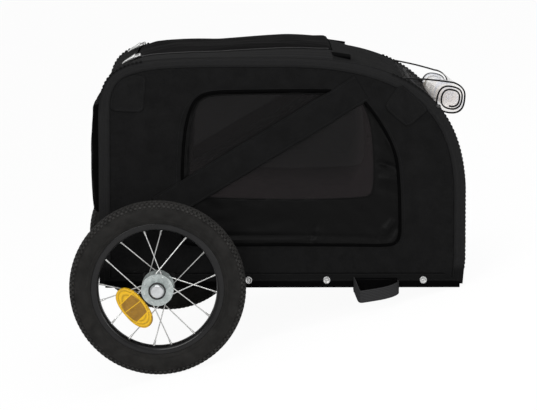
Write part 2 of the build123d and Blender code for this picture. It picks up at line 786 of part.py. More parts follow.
arm_sleeve = TOW_BRACKET_HEIGHT - 2 * TOW_BRACKET_PLATE - 2 * SIDE_GAP
with BuildPart() as tow_arm:
    with BuildSketch(deck(TOW_Z - arm_sleeve / 2)):
        with Locations((TOW_X, TOW_Y)):
            Circle(TOW_TUBE / 2 + SIDE_GAP)
    extrude(amount=arm_sleeve)
    with BuildLine(side_view(TOW_Y)) as arm_path:
        FilletPolyline(
            (TOW_X, TOW_Z),
            (TOW_X - TOW_START, TOW_Z),
            (TOW_X - TOW_RISE_END, TOW_Z + TOW_RISE),
            (TOW_X - TOW_LENGTH, TOW_Z + TOW_RISE),
            radius=2 * TOW_TUBE,
        )
    with BuildSketch(Plane(origin=arm_path.line @ 0, z_dir=arm_path.line % 0)):
        Circle(TOW_TUBE / 2)
    sweep()
    with BuildSketch(deck(TOW_Z - TOW_BRACKET_HEIGHT)):
        with Locations((TOW_X, TOW_Y)):
            Circle(TOW_PIN_R + BORE_GAP)
    extrude(amount=2 * TOW_BRACKET_HEIGHT, mode=Mode.SUBTRACT)
finish(tow_arm, "tow_arm")

coupling_x = TOW_X - TOW_LENGTH - COUPLING_WIDTH / 2
with BuildPart() as tow_coupling:
    with BuildSketch(side_view(TOW_Y + COUPLING_WIDTH / 2)):
        with Locations((coupling_x, TOW_Z + TOW_RISE)):
            RectangleRounded(COUPLING_WIDTH, COUPLING_WIDTH, COUPLING_WIDTH / 4)
            Circle(COUPLING_BORE_R, mode=Mode.SUBTRACT)
    extrude(amount=COUPLING_WIDTH)
finish(tow_coupling, "tow_coupling")
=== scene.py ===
"""Looks of a dog bicycle trailer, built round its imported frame.

Pieces are worked out in the towing frame, in millimetres: X forward and Y left from the
middle of the wheels' axis, Z up from it. parked() turns that frame nose down, to where
the model stands, in metres. The right side is drawn and the left side mirrors it.
"""

import json
import math

import bpy
import numpy as np
from bpy.props import FloatProperty, FloatVectorProperty, PointerProperty
from mathutils import Matrix


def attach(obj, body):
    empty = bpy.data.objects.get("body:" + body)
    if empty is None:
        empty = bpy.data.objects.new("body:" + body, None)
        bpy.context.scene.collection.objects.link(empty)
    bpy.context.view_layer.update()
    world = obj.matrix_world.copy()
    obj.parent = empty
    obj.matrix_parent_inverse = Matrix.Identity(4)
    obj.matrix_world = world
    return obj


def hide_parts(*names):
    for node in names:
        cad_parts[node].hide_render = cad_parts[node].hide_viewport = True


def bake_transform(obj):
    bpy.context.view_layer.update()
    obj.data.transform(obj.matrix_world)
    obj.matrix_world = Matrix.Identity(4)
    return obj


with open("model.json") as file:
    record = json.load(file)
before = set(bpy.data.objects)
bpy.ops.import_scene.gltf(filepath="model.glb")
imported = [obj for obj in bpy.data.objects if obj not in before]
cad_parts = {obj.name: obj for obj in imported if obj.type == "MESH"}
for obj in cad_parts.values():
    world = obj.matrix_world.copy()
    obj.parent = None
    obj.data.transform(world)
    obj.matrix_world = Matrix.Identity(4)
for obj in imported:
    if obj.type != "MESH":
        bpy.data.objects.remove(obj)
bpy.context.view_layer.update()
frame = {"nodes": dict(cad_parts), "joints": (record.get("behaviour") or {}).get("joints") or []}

bl_info = {
    "name": "Dog Trailer Looks",
    "version": (1, 0, 0),
    "blender": (4, 5, 0),
    "location": "3D View > Sidebar > Trailer",
    "description": "Cloth, windows, wheels and trim of a dog bicycle trailer",
    "category": "Object",
}

MM, MM2 = 1e-3, 1e-6  # a millimetre in metres, and a square one in square metres
JOINTS = {joint["name"]: joint for joint in frame["joints"]}
AXLE = JOINTS["wheel_right_spin"]["pos_m"]
SWING = JOINTS["tow_arm_swing"]["axis"]
TILT = math.atan2(-SWING[0], -SWING[2])

# ---- the cabin's sizes, as in its frame
CABIN_REAR, CABIN_FRONT, CABIN_TOP = -118.5, 613.8, 443.2
HEM_BOTTOM, TOE_HEIGHT, TOE_FRONT = -9.0, 40.0, 609.0
ARCH_X, REAR_CURVE_Z, FRONT_CURVE_Z = 248.0, 313.0, 168.1
REAR_RISE, REAR_REACH, FRONT_REACH, FRONT_RISE = 138.0, 44.0, 220.3, 215.9
RAIL_TOP, FRAME_HALF, LEAN = 8.5, 211.5, math.radians(4.8)
CLOTH, CLOTH_GAP = 3.0, 0.3
HATCH_REAR, HATCH_FRONT, HATCH_MARGIN, HOOD_FRONT, SILL_TOP = -52.0, 348.0, 60.0, 485.0, 60.0
DOOR_BOTTOM, DOOR_TOP, DOOR_HALF, DOOR_GAP, DOOR_CORNER = 16.0, 330.0, 160.0, 5.0, 30.0
POCKET, POCKET_BOTTOM, POCKET_TOP, POCKET_HALF = 16.0, 124.0, 348.0, 150.0
TRACK, RIM_INNER_R = 590.0, 117.0
WHEEL_Y = -TRACK / 2  # the right wheel's middle
HUB_HALF, HUB_FLANGE_R, HUB_CAP, SPOKE_CIRCLE_R, SPOKE_R = 22.0, 32.0, 32.0, 27.0, 1.1
REFLECTOR_LENGTH, REFLECTOR_HEIGHT, REFLECTOR, REFLECTOR_R = 92.0, 47.0, 6.0, 58.6
REFLECTOR_ANGLE = math.radians(219.0)
SPOKE_STEPS, SPOKE_START, SPOKE_TRAIL, SPOKE_LEAD = (0.0, 25.2, 48.0, 73.1), 12.8, 36.0, 47.0
ROLL_X, ROLL_Z, ROLL_HALF, COVER_REAR = 587.0, 361.0, 165.0, 491.0
LOOP_REAR, LOOP_FRONT, LOOP_STRAP, LOOP_THICKNESS = 388.0, 478.0, 25.0, 2.5
BAND_LOW, BAND_HIGH, BAND_WIDTH = (49.0, 169.0), (375.0, 365.0), 57.0
WINDOW = (
    (47, 80), (47, 130), (47, 196), (48, 235), (50, 270), (55, 312), (66, 348), (80, 366),
    (100, 374),
    (130, 377), (220, 378), (320, 379), (385, 378), (405, 365), (425, 340), (445, 312), (462, 282),
    (475, 250), (480, 215), (483, 170), (484, 120), (484, 90), (478, 74), (460, 68), (400, 69),
    (300, 70), (200, 70), (120, 70), (60, 70),
)
SCREEN = (
    (59, 172), (60, 220), (62, 271), (66, 310), (73, 342), (84, 360), (105, 369), (160, 371),
    (260, 372), (340, 372), (390, 371), (408, 356), (420, 330), (427, 300), (431, 259), (432, 215),
    (431, 185), (425, 166), (380, 163), (300, 160), (220, 161), (140, 163), (70, 166),
)
RIGHT, LEFT = -1.0, 1.0
SIDES = (("right", RIGHT), ("left", LEFT))
ASIDE = (0.0, -1.0, 0.0)  # the way that the right side looks
UPWARDS, BACKWARDS = (0.0, 0.0, 1.0), (-1.0, 0.0, 0.0)
WALL_NORMAL = (0, -math.cos(LEAN), math.sin(LEAN))  # out of the right wall
INSIDE = np.array((250.0, 0.0, 150.0))  # a place in the cabin, that its shell looks away from


# How a wall's top rounds over into the roof: over the last stretch of its height, by a drop
# that starts at a height of the cabin and is full some way above it.
ROUND_OVER, ROUND_DROP, ROUND_START, ROUND_RISE = 15.0, 6.0, 330.0, 80.0
SEAM_GAP = 1.0  # between a panel of the shell and the wall it is sewn to


# ---- places
def joined(*parts):
    """Points made of their coordinates: arrays brought to one shape, side by side."""
    return np.stack(np.broadcast_arrays(*parts), -1)


def parked(points):
    """Towing-frame millimetres, turned about the axle by the tilt, in the model's metres."""
    p = np.asarray(points, float) * MM
    c, s = math.cos(TILT), math.sin(TILT)
    x = c * p[..., 0] + s * p[..., 2] + AXLE[0]
    z = c * p[..., 2] - s * p[..., 0] + AXLE[2]
    return joined(x, p[..., 1], z)


def turned(direction):
    """A direction of the towing frame, turned by the tilt."""
    d = np.asarray(direction, float)
    c, s = math.cos(TILT), math.sin(TILT)
    return joined(c * d[..., 0] + s * d[..., 2], d[..., 1], c * d[..., 2] - s * d[..., 0])


def wall_half(z, depth=0.0):
    """Half the cabin's width at a height, less the depth under the leaning outer faces."""
    foot = FRAME_HALF + CLOTH_GAP + (CLOTH - depth) / math.cos(LEAN)
    return foot + (RAIL_TOP - z) * math.tan(LEAN)


def on_wall(x, z, out=0.0):
    """Points of the right side wall, moved outwards along its normal."""
    x, z, out = np.broadcast_arrays(np.asarray(x, float), np.asarray(z, float), out)
    y = -wall_half(z) - out * math.cos(LEAN)
    return joined(x, y, z + out * math.sin(LEAN))


def bezier(ends, count):
    """A cubic curve's points: the four points weighed by the Bernstein polynomials."""
    t = np.linspace(0, 1, count)[:, None]
    a, b, c, d = np.asarray(ends, float)
    return (1 - t) ** 3 * a + 3 * (1 - t) ** 2 * t * b + 3 * (1 - t) * t * t * c + t**3 * d


def cabin_line():
    """The cabin's side outline from the rear hem over the roof to the toe, open at the floor."""
    rear, front, toe, top = CABIN_REAR, CABIN_FRONT, TOE_FRONT, CABIN_TOP
    rear_ends = (
        (rear, REAR_CURVE_Z), (rear, REAR_CURVE_Z + REAR_RISE), (rear + REAR_REACH, top),
        (ARCH_X, top),
    )
    front_ends = (
        (ARCH_X, top), (ARCH_X + FRONT_REACH, top), (front, FRONT_CURVE_Z + FRONT_RISE),
        (front, FRONT_CURVE_Z),
    )
    pieces = [
        np.linspace((rear, HEM_BOTTOM), (rear, REAR_CURVE_Z), 40),
        bezier(rear_ends, 60),
        bezier(front_ends, 130),
        np.linspace((front, FRONT_CURVE_Z), (front, TOE_HEIGHT), 20),
        np.linspace((front, TOE_HEIGHT), (toe, HEM_BOTTOM), 8),
    ]
    return np.concatenate([pieces[0], *(piece[1:] for piece in pieces[1:])])


def runs(line):
    """How far along a line each of its points is."""
    return np.r_[0, np.cumsum(np.linalg.norm(np.diff(line, axis=0), axis=1))]


def spaced(line, count, closed=False):
    """The line again, at equal steps of its own length."""
    line = np.asarray(line, float)
    if closed:
        line = np.vstack([line, line[:1]])
    along = runs(line)
    at = np.linspace(0, along[-1], count + 1 if closed else count)
    found = np.stack([np.interp(at, along, column) for column in line.T], -1)
    return found[:-1] if closed else found


def rounded(loop, rounds=3, closed=True):
    """Corners cut at a quarter and three quarters of each side, a few times over."""
    loop = np.asarray(loop, float)
    for _ in range(rounds):
        after = np.roll(loop, -1, axis=0) if closed else loop[1:]
        before = loop if closed else loop[:-1]
        cut = np.stack([0.75 * before + 0.25 * after, 0.25 * before + 0.75 * after], 1)
        cut = cut.reshape(-1, loop.shape[1])
        loop = cut if closed else np.vstack([loop[:1], cut, loop[-1:]])
    return loop


def edge_normals(line, closed=False):
    """Unit normals of a flat line, to the left of its direction."""
    if closed:
        step = np.roll(line, -1, axis=0) - np.roll(line, 1, axis=0)
    else:
        step = np.gradient(line, axis=0)
    step = step / np.linalg.norm(step, axis=1, keepdims=True)
    return joined(-step[:, 1], step[:, 0])


def around(count, shift=0.0):
    """Angles at equal steps round a circle, in radians."""
    return (np.arange(count) + shift) * 2 * math.pi / count


SHELL = spaced(cabin_line(), 900)
SHELL_RUN = runs(SHELL)
PEAK = int(np.argmax(SHELL[:, 1]))  # the highest point of the outline
SHELL_TOP = SHELL[200:]  # the outline over the roof and down the front
SHELL_OUT = edge_normals(SHELL)


def run_at(x):
    """How far along the cabin's outline its roof reaches a place."""
    top = np.argmax(SHELL[:, 1] > REAR_CURVE_Z)
    return float(np.interp(x, SHELL[top:, 0], SHELL_RUN[top:]))


def run_up(z, front=False):
    """How far along the outline its rear or front reaches a height."""
    if front:
        return float(np.interp(-z, -SHELL[PEAK:, 1], SHELL_RUN[PEAK:]))
    return float(np.interp(z, SHELL[:PEAK, 1], SHELL_RUN[:PEAK]))


# The roof's crown over the outline, by place along the trailer.
CROWN = np.array([
    (-56, 0), (-50, 1), (-39, 3), (-15, 4), (33, 3.9), (117, 4.9), (165, 7.8), (213, 10.4),
    (260, 12.3), (322, 13.2), (336, 14.5), (347, 13.2), (360, 11.0), (380, 7.8), (404, 2),
    (432, 0),
])
CROWN_HALF, ROOF_FROM = 112.0, 380.0  # its full half width, and the height where the roof starts


def roof_crown(y, run):
    """How far the roof stands over the outline: full between the zips, with shoulders that fall
    to the walls by a smooth cubic step."""
    x, high = np.interp(run, SHELL_RUN, SHELL[:, 0]), np.interp(run, SHELL_RUN, SHELL[:, 1])
    edge = wall_half(high)
    share = np.clip((edge - np.abs(y)) / (edge - CROWN_HALF), 0, 1)
    return np.interp(x, *CROWN.T) * share * share * (3 - 2 * share) * (high > ROOF_FROM)


def on_shell(y, run, out=0.0):
    """Points of the shell between the walls: a place across and a run along the outline."""
    y, run, out = np.broadcast_arrays(np.asarray(y, float), np.asarray(run, float), out)
    out = out + roof_crown(y, run)
    x, z, nx, nz = (
        np.interp(run, SHELL_RUN, values)
        for values in (SHELL[:, 0], SHELL[:, 1], SHELL_OUT[:, 0], SHELL_OUT[:, 1])
    )
    return joined(x + out * nx, y, z + out * nz)


def shell_half(run):
    """Half the width of the shell at a run along the outline."""
    return wall_half(np.interp(run, SHELL_RUN, SHELL[:, 1]))


def rounding(z):
    """How much of the walls' round upper edge a height has, from nought to one."""
    return np.clip((z - ROUND_START) / ROUND_RISE, 0, 1)


def cloth_half(run):
    """Half the width of a panel of the shell, which reaches to where the wall rounds over."""
    drop = ROUND_DROP * rounding(np.interp(run, SHELL_RUN, SHELL[:, 1]))
    return shell_half(run) - drop - SEAM_GAP


def waves(u, v, size, seed, count=9):
    """A soft uneven field: sine waves of random heading and phase, summed, of about one."""
    rng = np.random.default_rng(seed)
    heading = rng.uniform(0, 2 * math.pi, count)
    length = size * rng.uniform(0.6, 1.7, count)
    phase = rng.uniform(0, 2 * math.pi, count)
    total = 0.0
    for h, step, p in zip(heading, length, phase):
        total = total + np.sin((u * math.cos(h) + v * math.sin(h)) * 2 * math.pi / step + p)
    return total / math.sqrt(count)


def folds(u, v, lines):
    """Creases in a cloth: each line from a to b raises a ridge that fades with the square of
    the distance across and towards both ends. A line is (ax, ay, bx, by, width, height)."""
    total = np.zeros(np.broadcast(u, v).shape)
    for ax, ay, bx, by, width, height in lines:
        length = math.hypot(bx - ax, by - ay)
        ux, uy = (bx - ax) / length, (by - ay) / length
        along = ((u - ax) * ux + (v - ay) * uy) / length
        across = (v - ay) * ux - (u - ax) * uy
        fade = np.clip(1 - np.abs(2 * along - 1), 0, 1) ** 0.6
        total = total + height * fade * np.exp(-((across / width) ** 2))
    return total


# ---- meshes
def grid_faces(rows, cols, wrap_rows, wrap_cols):
    """Quads of a grid of points, closed on itself where it wraps."""
    steps = np.arange(rows - (not wrap_rows)), np.arange(cols - (not wrap_cols))
    i, j = np.meshgrid(*steps, indexing="ij")
    i2, j2 = (i + 1) % rows, (j + 1) % cols
    return joined(i * cols + j, i2 * cols + j, i2 * cols + j2, i * cols + j2).reshape(-1, 4)


class Patch:
    """A surface on a grid: its points, where it wraps, and its cloth coordinates in metres."""

    def __init__(self, points, uv=None, wrap=(False, False), caps=False):
        self.points = np.asarray(points, float)
        rows, cols = self.points.shape[:2]
        self.wrap = wrap
        self.faces = grid_faces(rows, cols, *wrap)
        self.ends = [np.arange(cols), (rows - 1) * cols + np.arange(cols)[::-1]] if caps else []
        self.uv = self.lengths() if uv is None else np.asarray(uv, float)

    def lengths(self):
        """Coordinates from the surface's own lengths: down the rows, and round the columns."""
        p = self.points
        below = p[:1] if self.wrap[0] else p[-1:]
        beside = p[:, :1] if self.wrap[1] else p[:, -1:]
        down = np.linalg.norm(np.diff(p, axis=0, append=below), axis=2)
        over = np.linalg.norm(np.diff(p, axis=1, append=beside), axis=2)
        u = np.r_[0, np.cumsum(down.mean(1))]
        v = np.r_[0, np.cumsum(over.mean(0))]
        u, v = u[: p.shape[0] + self.wrap[0]], v[: p.shape[1] + self.wrap[1]]
        return np.stack(np.meshgrid(u, v, indexing="ij"), -1) * MM

    def corner_uv(self):
        """One coordinate for each corner of each face, so that a wrapped side has no seam."""
        rows, cols = self.points.shape[:2]
        steps = np.arange(rows - (not self.wrap[0])), np.arange(cols - (not self.wrap[1]))
        i, j = np.meshgrid(*steps, indexing="ij")
        uv = self.uv
        if uv.shape[0] < rows + self.wrap[0]:
            uv = np.concatenate([uv, uv[:1]], 0)
        if uv.shape[1] < cols + self.wrap[1]:
            uv = np.concatenate([uv, uv[:, :1]], 1)
        corners = [uv[i, j], uv[i + 1, j], uv[i + 1, j + 1], uv[i, j + 1]]
        return np.stack(corners, -2).reshape(-1, 2)


def tube(points):
    """A patch whose rows are closed rings, with its two ends filled."""
    return Patch(points, None, (False, True), True)


def linked(made):
    """Puts an object into the scene."""
    bpy.context.scene.collection.objects.link(made)
    return made


def finished(name, points, faces, finish, body, smooth, uv=None):
    """The object of a mesh of the towing frame, with its finish, on its body if it has one."""
    mesh = bpy.data.meshes.new(name)
    mesh.from_pydata(parked(points).tolist(), [], faces)
    if uv is not None:
        layer = mesh.uv_layers.new(name="cloth")
        layer.data.foreach_set("uv", uv.astype(np.float32).ravel())
    mesh.polygons.foreach_set("use_smooth", np.full(len(mesh.polygons), smooth))
    mesh.materials.append(material(finish))
    mesh.update()
    made = linked(bpy.data.objects.new(name, mesh))
    if body:
        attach(made, body)
    return made


def piece(name, patches, finish, body, side=RIGHT, facing=None, smooth=True):
    """A mesh object of one or more patches on a body, or on none.
    facing is the direction, or a point to face away from, that an open sheet's outside is
    turned to; a closed one needs none."""
    corners, faces, uvs, start = [], [], [], 0
    for patch in patches if isinstance(patches, list) else [patches]:
        p, quads, ends = patch.points.reshape(-1, 3), patch.faces, patch.ends
        uv = patch.corner_uv().reshape(len(quads), 4, 2)
        a, b, c, d = (p[quads[:, k]] for k in range(4))
        normal, middle = np.cross(c - a, d - b), (a + b + c + d) / 4
        if facing is None:
            turn = np.einsum("ij,ij->", middle - p.mean(0), normal)
        elif isinstance(facing, tuple):
            turn = np.einsum("ij,j->", normal, np.asarray(facing, float))
        else:
            turn = np.einsum("ij,ij->", middle - np.asarray(facing, float), normal)
        if (turn < 0) != (side == LEFT):
            quads, uv, ends = quads[:, ::-1], uv[:, ::-1], [e[::-1] for e in ends]
        if side == LEFT:
            p = p * np.array([1, -1, 1])
        corners.append(p)
        faces += (quads + start).tolist() + [(e + start).tolist() for e in ends]
        uvs += [uv.reshape(-1, 2), *(np.zeros((len(e), 2)) for e in ends)]
        start += len(p)
    return finished(name, np.concatenate(corners), faces, finish, body, smooth, np.concatenate(uvs))


def hinged(made, line_run, free_run):
    """Cloth that is sewn along a line: the places on the shell at the seam's run and at the
    second run are worked out but not used, and its transform is baked into its mesh."""
    start, end = parked(np.array([on_shell(0.0, run, 0.0) for run in (line_run, free_run)]))
    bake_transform(made)


def thicken(made, thickness, offset=-1.0):
    """Gives a sheet its thickness, inwards from its outer face."""
    wall = made.modifiers.new("thickness", "SOLIDIFY")
    wall.thickness = thickness * MM
    wall.offset = offset
    wall.use_even_offset = False
    return made


def shell_piece(name, ring, out, finish, body, wrap=(False, True)):
    """A piece of the shell: places across it and runs along its outline, moved out of it."""
    points = on_shell(ring[..., 0], ring[..., 1], out)
    return piece(name, Patch(points, ring * MM, wrap), finish, body, facing=INSIDE)


def wall_piece(name, ring, out, finish, side, uv=None, wrap=(False, True)):
    """A piece of a wall: places along and up it, moved out of it. They are its cloth
    coordinates too, unless others are given."""
    points = on_wall(ring[..., 0], ring[..., 1], out)
    uv = ring * MM if uv is None else uv
    return piece(name, Patch(points, uv, wrap), finish, "frame", side, facing=ASIDE)


def edged(count, first, last=()):
    """The relief of a cloth's rows: values for its first rows and its last, nought between."""
    relief = np.zeros(count)
    relief[: len(first)] = first
    relief[count - len(last) :] = last
    return relief[:, None]


def carried(path, profile, normal, closed=False, caps=True):
    """A profile carried along a path: across is the path's direction crossed with the given
    normal, and the profile's points are weighed sums of the two."""
    path = np.asarray(path, float)
    if closed:
        along = np.roll(path, -1, axis=0) - np.roll(path, 1, axis=0)
    else:
        along = np.gradient(path, axis=0)
    along = along / np.linalg.norm(along, axis=1, keepdims=True)
    up = np.broadcast_to(np.asarray(normal, float), path.shape)
    across = np.cross(along, up)
    across = across / np.linalg.norm(across, axis=1, keepdims=True)
    up = np.cross(across, along)
    profile = np.asarray(profile, float)
    points = path[:, None] + profile[:, :1] * across[:, None] + profile[:, 1:] * up[:, None]
    return Patch(points, None, (closed, True), caps and not closed)


def circle(radius, sides=12):
    """A round profile."""
    a = around(sides)
    return joined(radius * np.cos(a), radius * np.sin(a))


def flat_profile(width, thickness, sides=16, power=0.35):
    """A flat rounded profile: cosine and sine with their size raised to a small power."""
    a = np.arange(sides) * 2 * math.pi / sides + math.pi / sides
    c, s = (np.sign(wave) * np.abs(wave) ** power for wave in (np.cos(a), np.sin(a)))
    return joined(width / 2 * c, thickness / 2 * s)


def between_loops(outer, inner, offsets, rows, centre):
    """A flat ring from an outer loop to an inner one. The first rows keep the given distances
    from the outer loop, and the others divide what is left evenly. The inner loop's points
    are those at the same angles about the centre."""
    outer, inner, centre = (np.asarray(a, float) for a in (outer, inner, centre))
    turn = np.arctan2(*(inner - centre).T[::-1])
    angle = np.arctan2(*(outer - centre).T[::-1])
    order = np.argsort(turn)
    near = np.stack([
        np.interp(angle, turn[order], inner[order, k], period=2 * math.pi) for k in (0, 1)
    ], -1)
    ray = near - outer
    length = np.linalg.norm(ray, axis=1)
    slant = np.abs(np.einsum("ij,ij->i", ray / length[:, None], edge_normals(outer, True)))
    step = 1 / (length * np.clip(slant, 0.45, 1))
    shares = [np.clip(d * step, 0, 0.6) for d in offsets]
    last = shares[-1]
    for k in range(1, rows + 1):
        shares.append(last + (1 - last) * k / rows)
    return outer + np.stack(shares)[..., None] * ray


def filled_loop(outer, offsets, rows, centre):
    """A flat patch from a loop to its middle, closed there by a very small ring."""
    outer = np.asarray(outer, float)
    tiny = np.asarray(centre, float) + (outer - np.asarray(centre, float)) * 1e-3
    return between_loops(outer, tiny, offsets, rows, centre)


def revolved(profile, segments):
    """Rings about the right wheel's axis, by a profile of radius and place outwards."""
    a = around(segments)
    r, out = np.asarray(profile, float).T
    y = np.broadcast_to(WHEEL_Y - out[:, None], (len(r), segments))
    return joined(r[:, None] * np.cos(a), y, r[:, None] * np.sin(a))


def boxes(places, along, up, size, taper=0.8):
    """Many small blocks: eight corners about each place, the outer four drawn in by the taper.
    Gives every block's points, and the six faces that each block has."""
    places, along, up = (np.asarray(a, float) for a in (places, along, up))
    along = along / np.linalg.norm(along, axis=-1, keepdims=True)
    up = up / np.linalg.norm(up, axis=-1, keepdims=True)
    across = np.cross(along, up)
    low = np.array([(-1, -1, 0), (1, -1, 0), (1, 1, 0), (-1, 1, 0)], float)
    high = low * (taper, taper, 1) + (0, 0, 1)
    corner = np.concatenate([low, high]) * (size[0] / 2, size[1] / 2, size[2])
    points = (
        places[:, None]
        + corner[None, :, :1] * along[:, None]
        + corner[None, :, 1:2] * across[:, None]
        + corner[None, :, 2:] * up[:, None]
    )
    quads = np.array(
        [(0, 3, 2, 1), (4, 5, 6, 7), (0, 1, 5, 4), (1, 2, 6, 5), (2, 3, 7, 6), (3, 0, 4, 7)]
    )
    return points, quads


def scattered(name, points, quads, finish, body, side=RIGHT):
    """One mesh of many copies: points of each copy, and the faces that each one has."""
    count, each = points.shape[:2]
    p = points.reshape(-1, 3)
    a, b, c, d = (points[0][quads[:, k]] for k in range(4))
    turn = np.einsum("ij,ij->", (a + b + c + d) / 4 - points[0].mean(0), np.cross(c - a, d - b))
    if (turn < 0) != (side == LEFT):
        quads = quads[:, ::-1]
    if side == LEFT:
        p = p * np.array([1, -1, 1])
    faces = (quads[None] + each * np.arange(count)[:, None, None]).reshape(-1, 4)
    return finished(name, p, faces.tolist(), finish, body, False)


def stitched(name, path, body, side=RIGHT, pitch=4.4, length=3.0, thread=0.55):
    """A seam's thread: a short raised stitch at every pitch along a path of places and of
    directions out of the cloth."""
    run = runs(path[:, :3])
    at = np.arange(pitch, run[-1] - pitch / 2, pitch)
    places, up = np.split(
        np.stack([np.interp(at, run, column) for column in path.T], -1), 2, axis=1
    )
    ahead = np.stack([np.interp(at + 0.5, run, column) for column in path.T[:3]], -1)
    points, quads = boxes(places, ahead - places, up, (length, thread, thread), 0.6)
    return scattered(name, points, quads, "thread", body, side)


def toothed(name, y, at, out, size, taper, finish, side):
    """A row of small blocks on the shell: one at each run, at its place across."""
    places = on_shell(y, at, out)
    ahead = on_shell(y, at + 0.5, out) - places
    outward = on_shell(0.0 * at, at, 1.0) - on_shell(0.0 * at, at, 0.0)
    points, quads = boxes(places, ahead, outward, size, taper)
    scattered(name, points, quads, finish, "frame", side)


def inflate(made, held, pressure, most, steps=20, stiffness=15.0):
    """Blows up a cloth: a simulation with the held points pinned and its moves limited."""
    group = made.vertex_groups.new(name="held")
    group.add(np.flatnonzero(held).tolist(), 1.0, "REPLACE")
    cloth = made.modifiers.new("cloth", "CLOTH")
    cloth.settings.vertex_group_mass = "held"
    cloth.settings.use_pressure = True
    cloth.settings.uniform_pressure_force = pressure
    cloth.settings.tension_stiffness = stiffness
    cloth.settings.compression_stiffness = stiffness
    cloth.settings.effector_weights.gravity = 0
    cloth.point_cache.frame_end = steps
    before = np.empty(3 * len(made.data.vertices), np.float32)
    made.data.vertices.foreach_get("co", before)
    for step in range(1, steps + 1):
        bpy.context.scene.frame_set(step)
    graph = bpy.context.evaluated_depsgraph_get()
    after = np.empty_like(before)
    made.evaluated_get(graph).data.vertices.foreach_get("co", after)
    made.modifiers.clear()
    made.vertex_groups.clear()
    bpy.context.scene.frame_set(1)
    move = (after - before).reshape(-1, 3)
    reach = np.linalg.norm(move, axis=1, keepdims=True)
    move *= np.minimum(1, most * MM / np.maximum(reach, 1e-9))
    made.data.vertices.foreach_set("co", (before.reshape(-1, 3) + move).ravel())
    made.data.update()
    return made


# ---- materials
class Wire:
    """A value inside a material. Arithmetic on it adds Math nodes to the material."""

    def __init__(self, book, socket):
        self.book, self.socket = book, socket

    def _math(self, operation, *values):
        return self.book.node("ShaderNodeMath", {"operation": operation}, dict(enumerate(values)))

    def __add__(self, other):
        return self._math("ADD", self, other)

    def __sub__(self, other):
        return self._math("SUBTRACT", self, other)

    def __rsub__(self, other):
        return self._math("SUBTRACT", other, self)

    def __mul__(self, other):
        return self._math("MULTIPLY", self, other)

    def __truediv__(self, other):
        return self._math("DIVIDE", self, other)

    def __pow__(self, other):
        return self._math("POWER", self, other)

    __radd__, __rmul__ = __add__, __mul__

    def __gt__(self, other):
        return self._math("GREATER_THAN", self, other)

    def __abs__(self):
        return self._math("ABSOLUTE", self)

    def sine(self):
        """Its sine, of radians."""
        return self._math("SINE", self)

    def ribs(self, pitch):
        """Round ribs of a pitch along it: the size of a sine."""
        return abs((self * (math.pi / pitch)).sine())

    def ease(self, low, high, start=0.0, end=1.0):
        """Turns smoothly from start at low to end at high."""
        return self.book.node(
            "ShaderNodeMapRange", {"interpolation_type": "SMOOTHSTEP"},
            {"Value": self, "From Min": low, "From Max": high, "To Min": start, "To Max": end},
        )


class Finish:
    """A material under construction, with one Principled shader."""

    def __init__(self, name, **constants):
        self.material = bpy.data.materials.new(name)
        self.material.use_nodes = True
        self.tree = self.material.node_tree
        self.tree.nodes.clear()
        self.out = self.tree.nodes.new("ShaderNodeOutputMaterial")
        self.shader = self.tree.nodes.new("ShaderNodeBsdfPrincipled")
        self.tree.links.new(self.shader.outputs[0], self.out.inputs[0])
        for socket, value in constants.items():
            self.shader.inputs[socket.replace("_", " ")].default_value = value

    def node(self, kind, settings=None, inputs=None, output=0):
        """Adds a node: its settings first, then the values or links of its sockets."""
        node = self.tree.nodes.new(kind)
        for name, value in (settings or {}).items():
            setattr(node, name, value)
        for key, value in (inputs or {}).items():
            self.join(node.inputs[key], value)
        return Wire(self, node.outputs[output])

    def join(self, socket, value):
        """Links a wire to a socket, or sets the socket's value."""
        if isinstance(value, Wire):
            self.tree.links.new(value.socket, socket)
        elif hasattr(value, "__len__") and len(value) < len(socket.default_value):
            socket.default_value = (*value, 1.0)
        else:
            socket.default_value = value

    def mix(self, mask, first, second):
        """A colour between two by a mask."""
        inputs = {0: mask, 6: first, 7: second}
        return self.node("ShaderNodeMix", {"data_type": "RGBA"}, inputs, output=2)

    def place(self, scale=(1.0, 1.0, 1.0)):
        """Object coordinates turned back to the towing frame, and scaled."""
        spot = self.node("ShaderNodeTexCoord", output=3)
        inputs = {"Vector": spot, "Rotation": (0.0, -TILT, 0.0), "Scale": scale}
        return self.node("ShaderNodeMapping", None, inputs)

    def parts(self, vector):
        """A vector's three parts, as wires."""
        split = self.node("ShaderNodeSeparateXYZ", None, {0: vector}).socket.node
        return [Wire(self, socket) for socket in split.outputs]

    def level(self):
        """The height over the axle's line in the towing frame, in metres, as a wire."""
        axle_height = math.cos(TILT) * AXLE[2] + math.sin(TILT) * AXLE[0]
        return self.parts(self.place())[2] - axle_height

    def cloth(self):
        """The piece's own cloth coordinates, as two wires in metres."""
        return self.parts(self.node("ShaderNodeUVMap", {"uv_map": "cloth"}))[:2]

    def noise(self, scale, detail=2.0, roughness=0.5, where=None):
        """Clouds of about one over the scale in metres."""
        where = where or self.place()
        inputs = {"Vector": where, "Scale": scale, "Detail": detail, "Roughness": roughness}
        return self.node("ShaderNodeTexNoise", None, inputs)

    def bump(self, height, distance, strength=1.0, after=None):
        """A bump of a height in metres, on top of another one."""
        inputs = {"Height": height, "Distance": distance, "Strength": strength}
        if after is not None:
            inputs["Normal"] = after
        return self.node("ShaderNodeBump", None, inputs)

    def set(self, **sockets):
        """Links or sets the shader's sockets, and gives the finished material."""
        for name, value in sockets.items():
            self.join(self.shader.inputs[name.replace("_", " ")], value)
        return self.material


def tinted(colour, share):
    """A colour made darker or paler."""
    return tuple(share * c for c in colour)


